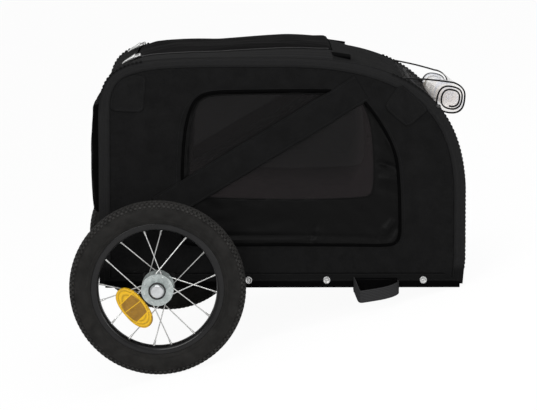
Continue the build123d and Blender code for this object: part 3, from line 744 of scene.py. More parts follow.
def plain_weave(book, pitch_u, pitch_v):
    """Over and under threads: where the product of two sines is above nought the thread along
    one way is on top, with its own round back, and elsewhere the other. Gives their height,
    and which of them is on top."""
    u, v = book.cloth()
    across = (u * (math.pi / pitch_u)).sine()
    along = (v * (math.pi / pitch_v)).sine()
    over = (across * along) > 0.0
    return over * abs(across) + (1.0 - over) * abs(along), over


def oxford_cloth(look, name="oxford_cloth", tone=1.0):
    """Coarse plain weave: uneven threads, a dusty bloom and a faint two-tone of warp and weft."""
    book = Finish(name, Specular_IOR_Level=0.03)
    height, over = plain_weave(book, look.weave_pitch, look.weave_pitch * 1.12)
    slub = book.noise(420.0, 3.0, 0.6, book.place((1.0, 1.0, 0.45)))
    mottle = book.noise(38.0, 3.0, 0.55)
    # A tone below one gives a darker copy of the cloth; the pocket's copy is painted shade.
    dark, pale = tinted(look.cloth_colour, 0.55 * tone), tinted(look.cloth_colour, 1.6 * tone)
    thread = height * 0.45 + slub * 0.75 + over * 0.08 - 0.1
    colour = book.mix((thread * 0.8 + mottle * 0.5 - 0.25).ease(0.05, 0.95), dark, pale)
    relief = book.bump(height * 0.75 + slub * 0.5, 0.00035, 0.75)
    return book.set(
        Base_Color=colour, Roughness=slub * 0.2 + 0.68,
        Normal=book.bump(mottle, 0.0012, 0.35, relief),
    )


def hem_cloth(look):
    """The hems' tape: the same yarn with ribs across it and a paler face above the floor rail."""
    book = Finish("hem_tape", Specular_IOR_Level=0.02)
    u, v = book.cloth()
    slub = book.noise(300.0, 3.0, 0.6)
    height = u.ribs(0.0021) * 0.5 + v.ribs(0.0042) * 0.3 + slub * 0.5
    above = (book.level() / MM).ease(14.0, 34.0)
    ribbed = book.mix(height.ease(0.2, 1.15), look.cloth_colour, tinted(look.cloth_colour, 2.7))
    colour = book.mix(above, tinted(look.cloth_colour, 0.9), ribbed)
    return book.set(
        Base_Color=colour, Roughness=slub * 0.2 + 0.6, Normal=book.bump(height, 0.0005, 0.8)
    )


def smooth_nylon(look):
    """Coated cloth: a fine close weave under a soft gloss, with small creases that are paler on
    their raised tops and darker in their hollows, as painted highlight and shade, among random
    paler patches.
    """
    book = Finish("smooth_nylon", Specular_IOR_Level=0.05, Coat_Roughness=0.34)
    height, _ = plain_weave(book, 0.0008, 0.0008)
    crease = book.noise(11.0, 4.0, 0.55, book.place((1.0, 1.0, 2.2)))
    patch = book.noise(5.0, 2.0, 0.5)
    dark, pale = tinted(look.nylon_colour, 0.15), tinted(look.nylon_colour, 0.5)
    # Colour follows the creases' relief: paler on their tops and darker in their hollows, painted
    # highlight and shade; the patches are random tone.
    colour = book.mix(crease * 0.6 + patch * 0.4, dark, pale)
    fine = book.bump(height, 0.00008, 0.5)
    return book.set(
        Base_Color=colour, Roughness=crease * 0.22 + 0.42, Coat_Weight=0.035,
        Normal=book.bump(crease, 0.0045, 0.4, fine),
    )


def roof_cover(look):
    """The roof's coated cover: a paler matt face with long soft creases along it, paler still on
    their raised tops as painted highlight.
    """
    book = Finish("roof_cover", Specular_IOR_Level=0.01)
    height, _ = plain_weave(book, 0.0009, 0.0009)
    crease = book.noise(7.0, 3.0, 0.5, book.place((0.5, 1.6, 1.0)))
    dark, pale = tinted(look.nylon_colour, 0.8), tinted(look.nylon_colour, 1.7)
    # Colour follows the creases' relief, paler on their tops: painted highlight.
    colour = book.mix(crease.ease(0.25, 0.8), dark, pale)
    relief = book.bump(crease, 0.006, 0.35, book.bump(height, 0.0001, 0.5))
    return book.set(Base_Color=colour, Roughness=crease * 0.2 + 0.62, Normal=relief)


def window_net(look):
    """Open net: two sets of fine threads with holes between them, and a warm grey bloom that is
    partly random and partly painted light, paler towards the lower and front edges.
    """
    book = Finish("window_net", Specular_IOR_Level=0.03, Roughness=0.7)
    u, v = book.cloth()
    across, along = u.ribs(look.net_pitch), v.ribs(look.net_pitch)
    threads = 1.0 - across.ease(0.45, 0.8) * along.ease(0.45, 0.8)
    bloom = book.noise(9.0, 3.0, 0.6)
    # Paler towards a side window's lower edge and front edge: painted light, mixed into the bloom's
    # colour.
    edge = (1.0 - v.ease(0.17, 0.26)) + u.ease(0.38, 0.425)
    tint = book.mix(
        (bloom * 0.5 + edge * 0.6 - 0.1).ease(0.05, 0.85), look.net_colour, look.net_tint
    )
    relief = book.bump(1.0 - across * along, 0.0001, 0.3)
    return book.set(Base_Color=tint, Alpha=threads * 0.08 + 0.885, Normal=relief)


def piping_cord(look):
    """Dull black piping with faint pulls."""
    book = Finish("piping", Specular_IOR_Level=0.01)
    u, v = book.cloth()
    pull = book.noise(160.0, 2.0, 0.5)
    twist = abs(((u * 600.0) + (v * 900.0)).sine())
    colour = book.mix(pull, (0.0006, 0.0006, 0.0006), (0.0022, 0.0022, 0.0023))
    return book.set(
        Base_Color=colour, Roughness=pull * 0.2 + 0.66, Normal=book.bump(twist + pull, 0.00012, 0.5)
    )


def film_edging(look):
    """Black welded edging of the clear cover, with a fine cross grain."""
    book = Finish("film_edging", Specular_IOR_Level=0.08)
    pull = book.noise(190.0, 2.0, 0.5)
    colour = book.mix(pull, (0.002, 0.002, 0.002), (0.007, 0.007, 0.0072))
    return book.set(
        Base_Color=colour, Roughness=pull * 0.2 + 0.4, Normal=book.bump(pull, 0.00012, 0.5)
    )


def webbing_strap(look):
    """Ribbed webbing: round cords along the strap with picks across them, paler on their tops as
    painted sheen, and paler in random frayed spots.
    """
    book = Finish("webbing_strap", Specular_IOR_Level=0.05)
    u, v = book.cloth()
    fray = book.noise(240.0, 3.0, 0.6)
    height = v.ribs(0.0031) * 0.7 + u.ribs(0.0016) * 0.2 + fray * 0.3
    # Colour follows the cords' relief, paler on their tops: painted sheen; the fray noise adds
    # random paler spots.
    colour = book.mix(height.ease(0.15, 1.0), (0.006, 0.006, 0.0062), (0.030, 0.030, 0.031))
    return book.set(
        Base_Color=colour, Roughness=fray * 0.2 + 0.6, Normal=book.bump(height, 0.0004, 0.6)
    )


def sewing_thread(look):
    """Twisted sewing thread, a little paler than the cloth."""
    book = Finish("sewing_thread", Specular_IOR_Level=0.06)
    fuzz = book.noise(1500.0, 2.0, 0.5)
    colour = book.mix(fuzz, (0.006, 0.006, 0.0062), (0.022, 0.022, 0.0225))
    return book.set(Base_Color=colour, Roughness=fuzz * 0.2 + 0.55)


def painted(name, colour, roughness, coat, grain):
    """Paint with a fine orange-peel surface, dulled in patches."""
    book = Finish(name, Specular_IOR_Level=0.12, Coat_Roughness=0.12)
    peel = book.noise(grain, 2.0, 0.5)
    dull = book.noise(22.0, 3.0, 0.6)
    tone = book.mix(dull.ease(0.3, 0.75), tinted(colour, 0.75), tinted(colour, 1.35))
    return book.set(
        Base_Color=tone, Roughness=dull * 0.16 + (roughness - 0.08), Coat_Weight=coat,
        Normal=book.bump(peel, 0.00012, 0.25),
    )


def plated(name, colour, roughness):
    """Plated or polished metal: cloudy tone, fine marks of its making, duller spots."""
    book = Finish(name, Metallic=1.0)
    brushed = book.noise(1.0, 3.0, 0.6, book.place((900.0, 900.0, 900.0)))
    cloud = book.noise(60.0, 3.0, 0.6)
    tone = book.mix(cloud.ease(0.25, 0.8), tinted(colour, 0.72), colour)
    return book.set(
        Base_Color=tone, Roughness=brushed * 0.12 + cloud * 0.14 + (roughness - 0.1),
        Normal=book.bump(brushed, 0.00006, 0.35),
    )


def hub_metal(look):
    """Zinc-plated hub and polished spokes, told apart by their distance from the axle."""
    book = Finish("hub_metal", Metallic=1.0)
    found = book.node("ShaderNodeTexCoord", output=3)
    for operation, other in (("SUBTRACT", (AXLE[0], 0.0, AXLE[2])), ("MULTIPLY", (1.0, 0.0, 1.0))):
        found = book.node("ShaderNodeVectorMath", {"operation": operation}, {0: found, 1: other})
    radius = book.node("ShaderNodeVectorMath", {"operation": "LENGTH"}, {0: found}, output=1)
    spokes = radius.ease((HUB_FLANGE_R - 0.2) * MM, (HUB_FLANGE_R + 0.6) * MM)
    cloud = book.noise(90.0, 3.0, 0.6)
    turned_lines = abs((radius * 5200.0).sine())
    zinc = book.mix(cloud.ease(0.3, 0.75), (0.30, 0.33, 0.325), (0.50, 0.54, 0.53))
    steel = book.mix(cloud, (0.44, 0.44, 0.435), (0.60, 0.60, 0.59))
    return book.set(
        Base_Color=book.mix(spokes, zinc, steel),
        Roughness=cloud * 0.12 + (1.0 - spokes) * 0.1 + 0.26,
        Normal=book.bump(cloud * 0.6 + turned_lines * 0.2, 0.00012, 0.35),
    )


def tyre_rubber(look, name="tyre_rubber", tone=1.0, gloss=0.06):
    """Dusty dark grey rubber with faint moulding rings round the axle."""
    book = Finish(name, Specular_IOR_Level=gloss)
    dust = book.noise(55.0, 4.0, 0.65)
    pores = book.noise(900.0, 2.0, 0.5)
    rings = abs((book.cloth()[1] * 1100.0).sine())
    # A tone above one gives a paler copy of the rubber; the tread's copy is painted highlight.
    dark, pale = tinted(look.rubber_colour, tone), tinted(look.rubber_colour, 1.9 * tone)
    relief = book.bump(pores * 0.5 + rings * 0.25, 0.0002, 0.4)
    return book.set(
        Base_Color=book.mix(dust.ease(0.25, 0.8), dark, pale), Roughness=dust * 0.2 + 0.5,
        Normal=relief,
    )


def amber_lens(look):
    """Moulded amber lens: a deep smooth panel in its middle, crossed by one fine line, inside a
    golden border that follows the outline and widens into ringed ends."""
    book = Finish("amber_lens", Specular_IOR_Level=0.25, Coat_Weight=0.1, Coat_Roughness=0.06)
    u, v = book.cloth()
    long, wide = u * 23.4, v * 43.0
    round_out = long * long + wide * wide
    border = round_out.ease(0.66, 0.74)
    slanted = abs(u + v * 0.12)
    end_lines = 1.0 - abs(slanted - 0.0242).ease(0.0004, 0.0013)
    middle_line = (1.0 - abs(u + 0.004).ease(0.0003, 0.0009)) * (1.0 - border)
    rings = abs((round_out * 9.0 + u * 60.0).sine())
    glow = book.noise(90.0, 3.0, 0.6)
    deep, bright = look.amber_deep, look.amber_bright
    middle = book.mix(glow.ease(0.3, 0.7), tinted(deep, 0.88), tinted(deep, 1.12))
    ringed = (rings * 0.7 + glow * 0.7 - 0.3).ease(0.0, 0.9)
    golden = book.mix(ringed, tinted(bright, 0.62), tinted(bright, 1.15))
    outer = (border + slanted.ease(0.0236, 0.0246)).ease(0.0, 1.0)
    face = book.mix(end_lines + middle_line, book.mix(outer, middle, golden), tinted(bright, 1.2))
    return book.set(
        Base_Color=face, Roughness=rings * 0.15 + 0.16, Normal=book.bump(rings * outer, 0.0007, 0.6)
    )


def clear_film(look):
    """Soft clear film: milky cream and blue-grey where layers cling, ripples in its gloss, and a
    faint glow in its own colour that is painted light.
    """
    # Emission in the film's own colour is painted light: it makes the film glow, though it is no
    # lamp.
    book = Finish("clear_film", Specular_IOR_Level=0.5, Coat_Roughness=0.06, Emission_Strength=0.22)
    ripple = book.noise(26.0, 3.0, 0.55, book.place((1.0, 0.45, 1.0)))
    cling = book.noise(11.0, 4.0, 0.6)
    warm = book.mix(cling.ease(0.42, 0.6), (1.0, 0.93, 0.84), (0.62, 0.64, 0.72))
    colour = book.mix(ripple.ease(0.45, 0.62), warm, (1.0, 0.98, 0.94))
    rolled = book.cloth()[1].ease(0.098, 0.12)
    veil = cling.ease(0.3, 0.7) * 0.25 + look.film_cover
    return book.set(
        Base_Color=colour, Emission_Color=colour, Roughness=ripple * 0.15 + 0.08,
        Alpha=rolled * veil + 0.004, Coat_Weight=rolled * 0.5,
        Normal=book.bump(ripple, 0.004, 0.5),
    )


def moulded_plastic(name, colour, roughness):
    """Moulded plastic with a fine spark-eroded grain."""
    book = Finish(name, Specular_IOR_Level=0.45)
    grain = book.noise(1400.0, 2.0, 0.6)
    wear = book.noise(70.0, 3.0, 0.6)
    tone = book.mix(wear.ease(0.35, 0.85), colour, tuple(min(1.0, 1.5 * c + 0.004) for c in colour))
    return book.set(
        Base_Color=tone, Roughness=grain * 0.15 + roughness, Normal=book.bump(grain, 0.0001, 0.5)
    )


# Each finish: how it is made, and the record's material slot that it belongs to.
FINISHES = {
    "oxford": (oxford_cloth, "oxford"),
    "patch": (lambda look: oxford_cloth(look, "patch_cloth", 1.2), "oxford"),
    # The pocket: the walls' cloth darkened to 0.16 of its tone, a shaded copy that is painted
    # shade.
    "pocket": (lambda look: oxford_cloth(look, "pocket_cloth_painted_shade", 0.16), "oxford"),
    # The tread: the tyre's rubber 1.6 times paler and glossier, a lit copy that is painted
    # highlight on the blocks' tops.
    "tread": (lambda look: tyre_rubber(look, "tread_rubber_painted_highlight", 1.6, 0.12), "tyre"),
    "hem": (hem_cloth, "oxford"),
    "nylon": (smooth_nylon, "nylon"),
    "roof": (roof_cover, "nylon"),
    "net": (window_net, "screen"),
    "piping": (piping_cord, "nylon"),
    "edging": (film_edging, "clear_film"),
    "webbing": (webbing_strap, "webbing"),
    "thread": (sewing_thread, "webbing"),
    "frame": (
        lambda look: painted("frame_paint", look.frame_colour, 0.42, 0.25, 700.0), "frame_paint"
    ),
    "rim": (
        lambda look: painted("rim_paint", (0.0045, 0.0044, 0.0046), 0.3, 0.22, 400.0), "rim_paint"
    ),
    "board": (lambda look: moulded_plastic("floor_board", (0.03, 0.03, 0.031), 0.6), "floor_board"),
    "black_plastic": (
        lambda look: moulded_plastic("black_plastic", (0.006, 0.006, 0.0063), 0.4), "nylon"
    ),
    "beige_plastic": (
        lambda look: moulded_plastic("beige_plastic", (0.42, 0.36, 0.27), 0.45), "nylon"
    ),
    "zinc": (lambda look: plated("zinc_plate", (0.50, 0.53, 0.52), 0.42), "zinc_steel"),
    "hub": (hub_metal, "zinc_steel"),
    "spoke": (lambda look: plated("spoke_steel", (0.52, 0.52, 0.51), 0.34), "zinc_steel"),
    "bright": (lambda look: plated("bright_steel", (0.60, 0.61, 0.62), 0.27), "zinc_steel"),
    "zinc_bright": (lambda look: plated("cast_zinc", (0.46, 0.46, 0.455), 0.38), "zinc_steel"),
    "tyre": (tyre_rubber, "tyre"),
    "amber": (amber_lens, "amber"),
    "film": (clear_film, "clear_film"),
}
MADE = {}


def material(name):
    """The finish of that name, made at its first use."""
    if name not in MADE:
        MADE[name] = FINISHES[name][0](bpy.context.scene.trailer_look)
    return MADE[name]


def refinish(node, finish):
    """Gives a CAD node its finish."""
    slots = frame["nodes"][node].data.materials
    slots.clear()
    slots.append(material(finish))


# ---- side walls
def loop_area(loop):
    """The area inside a flat loop, by the sum of its corners' cross products."""
    x, y = np.asarray(loop, float).T
    return 0.5 * abs(float(x @ np.roll(y, -1) - y @ np.roll(x, -1)))


def extent(loop):
    """A flat loop's length and height in metres."""
    return tuple((np.ptp(np.asarray(loop, float), axis=0) * MM).tolist())


WINDOW_LOOP = spaced(rounded(WINDOW), 480, closed=True)
SCREEN_LOOP = spaced(rounded(SCREEN), 480, closed=True)
WALL_MIDDLE = (265.0, 215.0)
FLOOR_EDGE = np.linspace((TOE_FRONT, HEM_BOTTOM), (CABIN_REAR, HEM_BOTTOM), 90)[1:-1]
WALL_LOOP = spaced(np.vstack([cabin_line(), FLOOR_EDGE]), 720, closed=True)
HEM_ROWS, PATCH_HEIGHT, EDGE_PITCH = 7, 2.1, 8.4


def hem_width(look, loop):
    """The hem is wider along the roof than down the ends."""
    x, z = loop.T
    high = 1
    for share in ((z - 400) / 50, (x + 90) / 60, (560 - x) / 140):
        high = high * np.clip(share, 0, 1)
    return (look.hem + (look.top_hem - look.hem) * high) / MM


def wall_out(x, z):
    """How far the wall stands out: it rounds over into the roof, and billows a little."""
    edge = np.interp(x, *SHELL_TOP.T) - z
    over = np.clip(1 - edge / ROUND_OVER, 0, 1) ** 2 * rounding(z)
    billow = 0.5 * waves(x, z, 95.0, 3) + 0.22 * waves(x, z, 34.0, 4)
    return billow - ROUND_DROP * over


def seam(loop, out=0.4):
    """A seam's path on the wall, with the wall's outward direction beside each point."""
    points = on_wall(loop[:, 0], loop[:, 1], wall_out(loop[:, 0], loop[:, 1]) + out)
    return np.hstack([points, np.broadcast_to(WALL_NORMAL, points.shape)])


def make_side_wall(look, name, side):
    """A wall between its outline and its window: a doubled hem, a stitched groove, then cloth
    that puckers towards the hem and the window."""
    width = hem_width(look, WALL_LOOP)
    offsets = [share * width for share in (0, 0.08, 0.3, 0.65)]
    offsets += [width + past for past in (-2.2, -1.1, 0.0, 1.4, 4.0)]
    ring = between_loops(WALL_LOOP, WINDOW_LOOP, offsets, 24, WALL_MIDDLE)
    x, z = ring[..., 0], ring[..., 1]
    relief = edged(len(ring), (0.0, 0.9, 1.3, 1.2, 0.7, -0.9, -0.8, 0.2, 0.1), (0.2, 0.6, 1.0))
    run = np.arange(ring.shape[1])[None] * 3.7
    near_hem = np.exp(-np.abs(np.arange(len(ring)) - HEM_ROWS) / 4.0)[:, None]
    pucker = 0.5 * near_hem * waves(run, 0 * run, 17.0, 8)
    pucker = pucker + 0.25 * near_hem * waves(run, 0 * run, 7.0, 9)
    out = wall_out(x, z) + relief + pucker
    uv = joined(x, z / math.cos(LEAN)) * MM
    run_uv = joined(run, np.linspace(0, 1, len(ring))[:, None] * 300) * MM
    inner, outer = slice(HEM_ROWS - 1, None), slice(HEM_ROWS)
    wall = wall_piece(f"side_wall_{name}", ring[inner], out[inner], "oxford", side, uv[inner])
    hem = wall_piece(f"side_hem_{name}", ring[outer], out[outer], "hem", side, run_uv[outer])
    thicken(wall, 2.2)
    thicken(hem, 2.6)
    stitched(f"side_hem_stitches_{name}", seam(ring[4], 1.4), "frame", side)
    stitched(
        f"side_hem_zip_{name}", seam(0.7 * ring[2] + 0.3 * ring[3], 1.6), "frame", side, 3.6, 2.0,
        0.6,
    )
    stitched(f"window_seam_stitches_{name}", seam(ring[-3], 0.7), "frame", side)
    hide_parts(f"side_panel_{name}")


def raised_patch(name, corners, side):
    """A sewn-on patch: its edge rises from the wall, and a stitched line runs inside it."""
    loop = spaced(rounded(corners, 1), 160, closed=True)
    ring = filled_loop(loop, (0, 0.5, 1.2, 2.2, 4.0), 5, loop.mean(0))
    rows = [0, 1, 2, 3, 4, 5, len(ring) - 1]
    rise = np.interp(np.arange(len(ring)), rows, [0.1, 0.8, 1.15, 1.25, 0.85, 1.2, 1.35])
    x, z = ring[..., 0], ring[..., 1]
    out = wall_out(x, z) + rise[:, None] * PATCH_HEIGHT + 0.18 * waves(x, z, 22.0, 12)
    made = wall_piece(name, ring, out, "patch", side, joined(x + z, z - x) * MM * 0.7071)
    stitched(f"{name}_stitches", seam(ring[4], PATCH_HEIGHT), "frame", side)
    return made, loop_area(loop) * MM2


REAR_PATCH = (
    (-95, 338), (-98, 352), (-94, 372), (-86, 390), (-72, 403), (-52, 410), (-38, 409), (-24, 406),
    (-25, 390), (-28, 360), (-30, 335), (-60, 336),
)
FRONT_PATCH = (
    (484, 394), (503, 378), (522, 361), (541, 341), (527, 328), (499, 304), (484, 316), (450, 345),
    (461, 361),
)


def make_wall_patches(look, name, side):
    """The square and the slanted reinforcing patches over the hoop's ends."""
    for label, corners in (("rear", REAR_PATCH), ("front", FRONT_PATCH)):
        made, area = raised_patch(f"{label}_patch_{name}", corners, side)


def make_edge_binding(look, name, side):
    """The bound seam where the wall meets the roof, rear and front, with a toothed zip beside
    it over the rear corner and down the front."""
    x, z = cabin_line().T
    path = on_wall(x, z, wall_out(x, z) - 1.0)
    piece(f"edge_binding_{name}", carried(path, circle(2.0, 8), ASIDE), "hem", "frame", side)
    rear = np.arange(run_up(270.0), run_at(-30.0), EDGE_PITCH)
    front = np.arange(run_at(470.0), run_up(20.0, True), EDGE_PITCH)
    at = np.r_[rear, front]
    toothed(
        f"edge_teeth_{name}", -(shell_half(at) - 5.5), at, 0.6, (5.4, 7.5, 2.4), 0.75, "hem", side
    )


# ---- windows
SURROUND_FOLDS = (
    (448, 306, 474, 250, 6.0, 3.2), (438, 330, 470, 262, 5.0, -2.2),
    (436, 236, 480, 222, 6.5, -4.2), (440, 204, 484, 202, 8.0, 2.8),
    (434, 186, 480, 168, 9.0, -1.4), (440, 80, 472, 122, 4.5, 3.4),
    (452, 74, 482, 112, 4.0, -3.2), (430, 76, 456, 100, 4.0, -2.0), (96, 88, 352, 87, 3.6, -3.4),
    (120, 80, 330, 79, 3.0, 1.8), (330, 86, 440, 84, 4.0, -2.2), (300, 70, 312, 112, 5.0, -1.8),
    (314, 70, 330, 120, 6.0, 1.6), (40, 340, 60, 220, 4.0, -1.2), (150, 140, 420, 130, 22.0, 1.4),
    (180, 112, 300, 122, 14.0, -1.4), (60, 352, 84, 372, 3.0, 1.2),
)


def open_area(outer, hole, size, least=0.301):
    """The cloth between two loops in square metres, at least a share of its whole size."""
    return max((loop_area(outer) - loop_area(hole)) * MM2, least * size[0] * size[1])


def make_window(look, name, side):
    """A window: coated cloth between the piping and the net, creased towards its corners, the
    net itself with a slight sag, and the piping round the opening."""
    ring = between_loops(WINDOW_LOOP, SCREEN_LOOP, (0, 2.0, 4.5), 22, (255.0, 262.0))
    x, z = ring[..., 0], ring[..., 1]
    depth = np.linspace(0, 1, len(ring))[:, None]
    sag = -1.6 * np.sin(math.pi * depth) - 0.8
    creases = 1.7 * folds(x, z, SURROUND_FOLDS)
    out = sag + creases + 0.35 * waves(x, z, 46.0, 21) + 0.3 * waves(x, z * 3, 60.0, 22)
    surround = wall_piece(
        f"window_cloth_{name}", ring, out * np.clip(depth / 0.06, 0, 1), "nylon", side
    )
    thicken(surround, 0.8)
    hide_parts(f"window_surround_{name}")
    size = extent(WINDOW_LOOP)
    area = open_area(WINDOW_LOOP, SCREEN_LOOP, size, 0.31)
    net = filled_loop(SCREEN_LOOP, (0, 2.0), 16, (250.0, 265.0))
    depth = np.linspace(0, 1, len(net))[:, None]
    sag = -0.9 - 2.2 * np.sin(math.pi / 2 * depth)
    out = sag + 0.3 * waves(net[..., 0], net[..., 1], 120.0, 24)
    mesh = wall_piece(f"window_net_{name}", net, out, "net", side)
    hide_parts(f"window_mesh_{name}")
    size = extent(SCREEN_LOOP)
    area = loop_area(SCREEN_LOOP) * MM2
    hem = carried(on_wall(*SCREEN_LOOP.T, -0.5), flat_profile(2.6, 1.0, 8), ASIDE, True)
    piece(f"net_hem_{name}", hem, "nylon", "frame", side)
    make_piping(look, name, side)


def make_piping(look, name, side):
    """The piping round a window, pressed flat into the wall where the band covers it."""
    x, z = WINDOW_LOOP.T
    wobble = 1.9 + 0.25 * waves(np.arange(len(x)) * 3.1, np.zeros(len(x)), 30.0, 31)
    under = np.clip((BAND_WIDTH / 2 + 1 - np.abs(across_band(x, z))) / 4, 0, 1)
    path = on_wall(x, z, wall_out(x, z) + wobble * 0.6 - 5.5 * under)
    piping = carried(path, circle(look.piping / MM / 2, 10), ASIDE, True)
    piece(f"window_piping_{name}", piping, "piping", "frame", side)


def across_band(x, z):
    """The distance of places on the wall from the slanting band's middle line."""
    rise, reach = BAND_HIGH[1] - BAND_LOW[1], BAND_HIGH[0] - BAND_LOW[0]
    return ((z - BAND_LOW[1]) * reach - (x - BAND_LOW[0]) * rise) / math.hypot(rise, reach)


# The band's stand over the wall, by the share of its half width.
BAND_RISE = ((0, 0.8, 0.85, 0.9, 0.96, 0.985, 1.0), (2.4, 1.9, 1.3, 1.9, 1.8, 1.2, 0.0))


def make_band(look, name, side):
    """The slanting band over the brace: a strip sewn down along both edges, its lower edge
    standing off the net at the middle, and flush with the wall at its ends."""
    start, end = -58, 418
    run = np.linspace(start, end, 150)[:, None]
    edge = np.array([0.3, 0.6, 0.8, 0.84, 0.9, 0.96, 0.985, 1.0])
    across = np.r_[-edge[::-1], 0, edge][None]
    rise = np.interp(np.abs(across), *BAND_RISE)
    slope = math.atan2(BAND_HIGH[1] - BAND_LOW[1], BAND_HIGH[0] - BAND_LOW[0])
    half = BAND_WIDTH / 2 + 0.4 * waves(run, 0 * run, 70.0, 41)
    x = BAND_LOW[0] + run * math.cos(slope) - across * half * math.sin(slope)
    z = BAND_LOW[1] + run * math.sin(slope) + across * half * math.cos(slope)
    ends = np.clip(np.minimum(run - start, end - run) / 26, 0, 1)
    lift = 3.2 * np.exp(-(((run - 275) / 52) ** 2)) * np.clip(-across - 0.1, 0, 1) ** 1.5
    out = wall_out(x, z) + 0.6 + rise * (0.25 + 0.75 * ends) + lift + 0.25 * waves(x, z, 38.0, 42)
    ring, uv = joined(x, z), joined(run, across * half) * MM
    band = wall_piece(f"brace_band_{name}", ring, out, "oxford", side, uv, (False, False))
    thicken(band, 1.2)
    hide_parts(f"brace_sleeve_{name}")
    for label, column in (("low", 4), ("high", 12)):
        path = on_wall(x[:, column], z[:, column], out[:, column] + 0.1)
        path = np.hstack([path, np.broadcast_to(WALL_NORMAL, path.shape)])
        stitched(f"band_{label}_stitches_{name}", path, "frame", side)


# ---- roof, rear and front
def shell_sheet(name, run, lift, height, size, seed):
    """A sheet of coarse cloth over the shell's whole width: rows along the outline, columns
    across, with waves of a height and a size over its lift."""
    run = run[:, None]
    across = np.linspace(-1, 1, 90)[None] * cloth_half(run)
    ring = joined(across, run)
    out = height * waves(ring[..., 0], ring[..., 1], size, seed) + lift
    return thicken(shell_piece(name, ring, out, "oxford", "frame", (False, False)), 2.4)


HINGE_BEND = 9.5  # how far from its seam the second run given to hinged() lies
TAPE_IN = wall_half(CABIN_TOP, CLOTH) - HATCH_MARGIN  # the inner edge of the tapes beside the hatch
DOOR_MIDDLE = (0.0, 180.0)


def make_roof(look):
    """The roof: a hood of coarse cloth at the front, and tapes beside the hatch for its zips."""
    start, split, end = run_at(HATCH_REAR), run_at(HATCH_FRONT), run_at(HOOD_FRONT)
    hood = shell_sheet("roof_hood", np.linspace(split + 1, end + 2, 60), 0.5, 0.4, 60.0, 51)
    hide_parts("roof_panel")
    run, share = np.linspace(start - 6, split + 2, 120)[:, None], np.linspace(0, 1, 7)[None]
    y = -(TAPE_IN + (cloth_half(run) - TAPE_IN) * share)
    points = on_shell(y, run, 0.4 + 0.8 * np.sin(math.pi * share))
    uv = joined(run, share * 18) * MM
    for name, side in SIDES:
        tape = piece(f"roof_tape_{name}", Patch(points, uv), "hem", "frame", side, facing=UPWARDS)
        thicken(tape, 1.6)


def make_hatch(look):
    """The hatch: a smooth cover between the zips, crowned and then blown up a little as a
    cloth."""
    half, front = TAPE_IN - DOOR_GAP, run_at(HATCH_FRONT) - 0.6
    rows, cols = 72, 60
    run = np.linspace(run_at(HATCH_REAR + DOOR_GAP), front, rows)[:, None]
    y = np.linspace(-half, half, cols)[None]
    edge_y = np.clip((1 - np.abs(y) / half) * 7, 0, 1)
    edge_run = np.clip(np.minimum((run - run[0]) / 40, (run[-1] - run) / 9), 0, 1)
    crown = np.sin(math.pi / 2 * edge_y) * np.sin(math.pi / 2 * edge_run)
    out = 0.4 + look.roof_crown / MM * crown + 0.8 * crown * waves(y * 2.0, run, 120.0, 52)
    uv = joined(y, run) * MM
    cover = piece("hatch_cover", Patch(on_shell(y, run, out), uv), "roof", None, facing=UPWARDS)
    held = np.ones((rows, cols), bool)
    held[2:-2, 2:-2] = False
    inflate(cover, held.ravel(), 1.2, 2.5)
    thicken(cover, 1.6)
    hinged(cover, front, run_at(HATCH_FRONT) - HINGE_BEND)
    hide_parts("roof_hatch")
    2 * half * MM


def make_roof_zips(look):
    """The hatch's zips: a coil of small teeth on each side, and a bright slider with its pull
    at the rear end of each."""
    y_zip = TAPE_IN - DOOR_GAP / 2
    at = np.arange(run_at(HATCH_REAR) + 4, run_at(HATCH_FRONT) - 6, 1.7)
    for name, side in SIDES:
        toothed(
            f"roof_zip_{name}", -y_zip + 0.0 * at, at, 1.3, (1.1, 4.2, 1.6), 0.7, "black_plastic",
            side,
        )
        make_slider(f"roof_slider_{name}", -y_zip, run_at(HATCH_REAR) + 9, side, "zinc_bright", 1.1)


def make_zip_shadow_wedges(look):
    """A black wedge at the front end of each roof zip, where the hatch meets the hood, that
    rises forwards: painted shade, standing for the shadow in the gap there."""
    share = np.linspace(0, 1, 14)[:, None]
    rear, front = run_at(HATCH_FRONT - 6), run_at(HATCH_FRONT + 36)
    across, up = flat_profile(24.0, 2.0, 20, 0.3).T[:, None]
    y = -TAPE_IN - 22.0 + across * (0.7 + 0.3 * share)
    out = (0.8 + 5.0 * share**1.2) * (0.5 + 0.5 * up)
    shadow_wedge = on_shell(y, rear + (front - rear) * share, out)
    # The wedge takes the black piping's finish: painted shade.
    for name, side in SIDES:
        piece(f"zip_shadow_wedge_{name}", tube(shadow_wedge), "piping", "frame", side)


def make_slider(name, y, run, side, finish, size):
    """A zip slider: a waisted body, and a long pull tab hinged on it that lies along the tape."""
    rows = np.linspace(-1, 1, 15)[:, None]
    across, up = circle(1.0, 14).T[:, None]
    round_off = np.sqrt(np.clip(1 - (rows * 0.97) ** 8, 0, 1))
    waist = size * (5.6 + 1.6 * rows + 0.8 * rows**2)
    body_out = size * (4.4 + 4.2 * up * round_off)
    body = tube(on_shell(y + waist * across * round_off, run + 7.0 * size * rows, body_out))
    reach = np.linspace(0, 1, 16)[:, None]
    across, up = flat_profile(7.5 * size, 1.0, 14, 0.5).T[:, None]
    rise = size * (5.8 - 3.6 * reach + 0.6 * np.sin(math.pi * reach))
    depth = size * (9.5 - 7.0 * reach)
    tab_y = y + across * (1.0 - 0.35 * reach + 0.1 * np.sin(2 * math.pi * reach))
    tab = tube(on_shell(tab_y, run - size * (3.0 + 27.0 * reach), rise + depth * up))
    return piece(name, [body, tab], finish, "frame", side)


